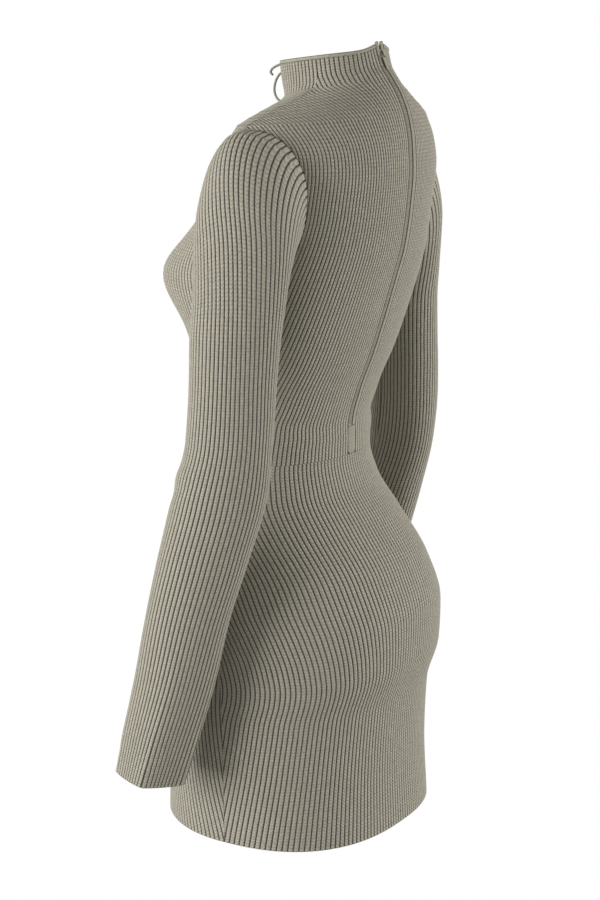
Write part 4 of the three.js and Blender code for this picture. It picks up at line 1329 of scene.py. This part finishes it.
class DRESS_OT_zip(bpy.types.Operator):
    """Builds the zip: bands, end tab, tape, coil, ladder stitches, slider and pull tab"""

    bl_idname = "dress.zip"
    bl_label = "Zip"

    def execute(self, context):
        trim = in_mm(context.scene.dress_trim)
        jersey = material_of(context, "Smooth knit jersey")
        twill = material_of(context, "Zip tape twill")
        nylon = material_of(context, "Zip teeth nylon")
        enamel = material_of(context, "Slider enamel")
        for side in ("left", "right"):
            finish_piece(zip_band(side, jersey), "smooth_knit", f"zip_band_{side}")
        finish_piece(zip_end_tab(jersey), "smooth_knit", "zip_end_tab")
        finish_piece(zip_tape(twill), "zip_tape", "zip_tape")
        levels = np.arange(COIL["low"], COIL["high"], LINE_STEP)
        for seed, (side, sign) in enumerate((("right", -1), ("left", 1))):
            across = np.full(len(levels), COIL["across"] * sign)
            line = on_body(across, levels + sign * trim.tooth / 4, COIL["lift"])
            coil = repeats(f"zip_coil_{side}", line, trim.tooth, COIL["size"], seed, nylon)
            finish_piece(coil, "zip_teeth", "zip_teeth")
        rows = np.arange(STITCH_ROW["low"], STITCH_ROW["high"], LINE_STEP)
        for seed, (name, across, size, thread) in enumerate(BAND_STITCHES[1:]):
            line = on_body(np.full(len(rows), across), rows, STITCH_ROW["lift"])
            row = repeats(name, line, trim.ladder, size, 3 + seed, material_of(context, thread))
            finish_piece(row, "smooth_knit")
        slider = smoothed_node("zip_slider", "zip_slider_enamel", 0.25, enamel)
        finish_piece(slider, "zip_enamel", "zip_slider")
        tab = smoothed_node("pull_tab", "pull_tab_enamel", 0.2, enamel)
        finish_piece(tab, "zip_enamel", "pull_tab", body="pull_tab")
        return {"FINISHED"}


class DRESS_OT_lace(bpy.types.Operator):
    """Builds the lace through the slit of the collar"""

    bl_idname = "dress.lace"
    bl_label = "Lace"

    def execute(self, context):
        trim = in_mm(context.scene.dress_trim)
        obj, points, length = lace(trim, material_of(context, "Smooth knit jersey"))
        finish_piece(obj, "smooth_knit", "lace")
        return {"FINISHED"}


def aim(obj, place, target):
    """Puts a light or a camera at a place, turned towards its target."""
    obj.location = place
    obj.rotation_euler = (target - place).to_track_quat("-Z", "Y").to_euler()


def area_light(name, place, target, size, power):
    light = bpy.data.lights.new(name, "AREA")
    light.shape, light.size, light.energy = "DISK", size, power
    aim(placed(name, light), place, target)


def surround(settings):
    """A world that the camera sees as white and that lights the dress less."""
    world = bpy.data.worlds.new("surround")
    world.use_nodes = True
    tree = world.node_tree
    path, amount = tree.nodes.new("ShaderNodeLightPath"), tree.nodes.new("ShaderNodeMath")
    amount.operation = "MULTIPLY_ADD"
    tree.links.new(path.outputs["Is Camera Ray"], amount.inputs[0])
    amount.inputs[1].default_value = 1.0 - settings.world
    amount.inputs[2].default_value = settings.world
    background = tree.nodes["Background"]
    background.inputs["Color"].default_value = (1, 1, 1, 1)
    tree.links.new(amount.outputs[0], background.inputs["Strength"])
    return world


# The camera's place and what it looks at, in metres, and where the lights stand beside its line
# of sight: degrees round from the camera, degrees up, distance and size.
CAMERA_PLACE = (2.2322, 1.127, 0.1077)
CAMERA_TARGET = (0.0248, -0.0467, -0.374)
CLIP_END = 200
FLOOR_DEPTH = -1.35
FLOOR_REACH = 40.0
LIGHTS = (
    ("name", "round", "up", "distance", "size"),
    ("key", -60, 6, 2.6, 1.6),
    ("fill", 90, 4, 2.8, 1.6),
    ("rim", -120, 60, 2.4, 1.4),
)


class DRESS_OT_stage(bpy.types.Operator):
    """Sets up the floor, surround, lights and camera"""

    bl_idname = "dress.stage"
    bl_label = "Stage"

    def execute(self, context):
        scene = context.scene
        settings = scene.dress_stage
        camera = placed("camera", bpy.data.cameras.new("camera"))
        camera.data.lens, camera.data.sensor_width = settings.lens, 36
        camera.data.clip_end = CLIP_END
        place, target = Vector(CAMERA_PLACE), Vector(CAMERA_TARGET)
        aim(camera, place, target)
        scene.camera = camera
        bearing = math.atan2(place.y - target.y, place.x - target.x)
        for name, turn, up, distance, size in LIGHTS[1:]:
            round_it, rise = bearing + math.radians(turn), math.radians(up)
            flat = distance * math.cos(rise)
            spot = (flat * math.cos(round_it), flat * math.sin(round_it), distance * math.sin(rise))
            area_light(name, target + Vector(spot), target, size, getattr(settings, name))
        scene.world = surround(settings)
        outline = ((-1, -1), (1, -1), (1, 1), (-1, 1))
        corners = [(x * FLOOR_REACH, y * FLOOR_REACH, FLOOR_DEPTH) for x, y in outline]
        paper = glow_material("Floor paper", 1.0, settings.world)
        mesh_object("floor", corners, [(0, 1, 2, 3)], paper, smooth=False)
        scene.view_settings.view_transform = "Standard"
        scene.view_settings.look = "None"
        return {"FINISHED"}


OPERATORS = (
    DRESS_OT_stage,
    DRESS_OT_lace,
    DRESS_OT_bodice,
    DRESS_OT_skirt,
    DRESS_OT_sleeves,
    DRESS_OT_bindings,
    DRESS_OT_zip,
)
GROUPS = {
    "dress_knit": DressKnit,
    "dress_trim": DressTrim,
    "dress_colours": DressColours,
    "dress_stage": DressStage,
}


class DRESS_PT_panel(bpy.types.Panel):
    """Lists the dress's settings and its steps"""

    bl_idname = "DRESS_PT_panel"
    bl_label = "Rib knit dress"
    bl_space_type = "VIEW_3D"
    bl_region_type = "UI"
    bl_category = "Dress"

    def draw(self, context):
        for name, group in GROUPS.items():
            box = self.layout.box()
            for setting in group.__annotations__:
                box.prop(getattr(context.scene, name), setting)
        for operator in OPERATORS:
            self.layout.operator(operator.bl_idname)


def register():
    for group in GROUPS.values():
        bpy.utils.register_class(group)
    for name, group in GROUPS.items():
        setattr(bpy.types.Scene, name, PointerProperty(type=group))
    for made in (*OPERATORS, DRESS_PT_panel):
        bpy.utils.register_class(made)


def unregister():
    for made in (DRESS_PT_panel, *reversed(OPERATORS)):
        bpy.utils.unregister_class(made)
    for name, group in GROUPS.items():
        delattr(bpy.types.Scene, name)
        bpy.utils.unregister_class(group)


def main():
    register()
    bpy.ops.dress.stage()
    bpy.ops.dress.lace()
    bpy.ops.dress.bodice()
    bpy.ops.dress.skirt()
    bpy.ops.dress.sleeves()
    bpy.ops.dress.bindings()
    bpy.ops.dress.zip()


if __name__ == "__main__":
    main()
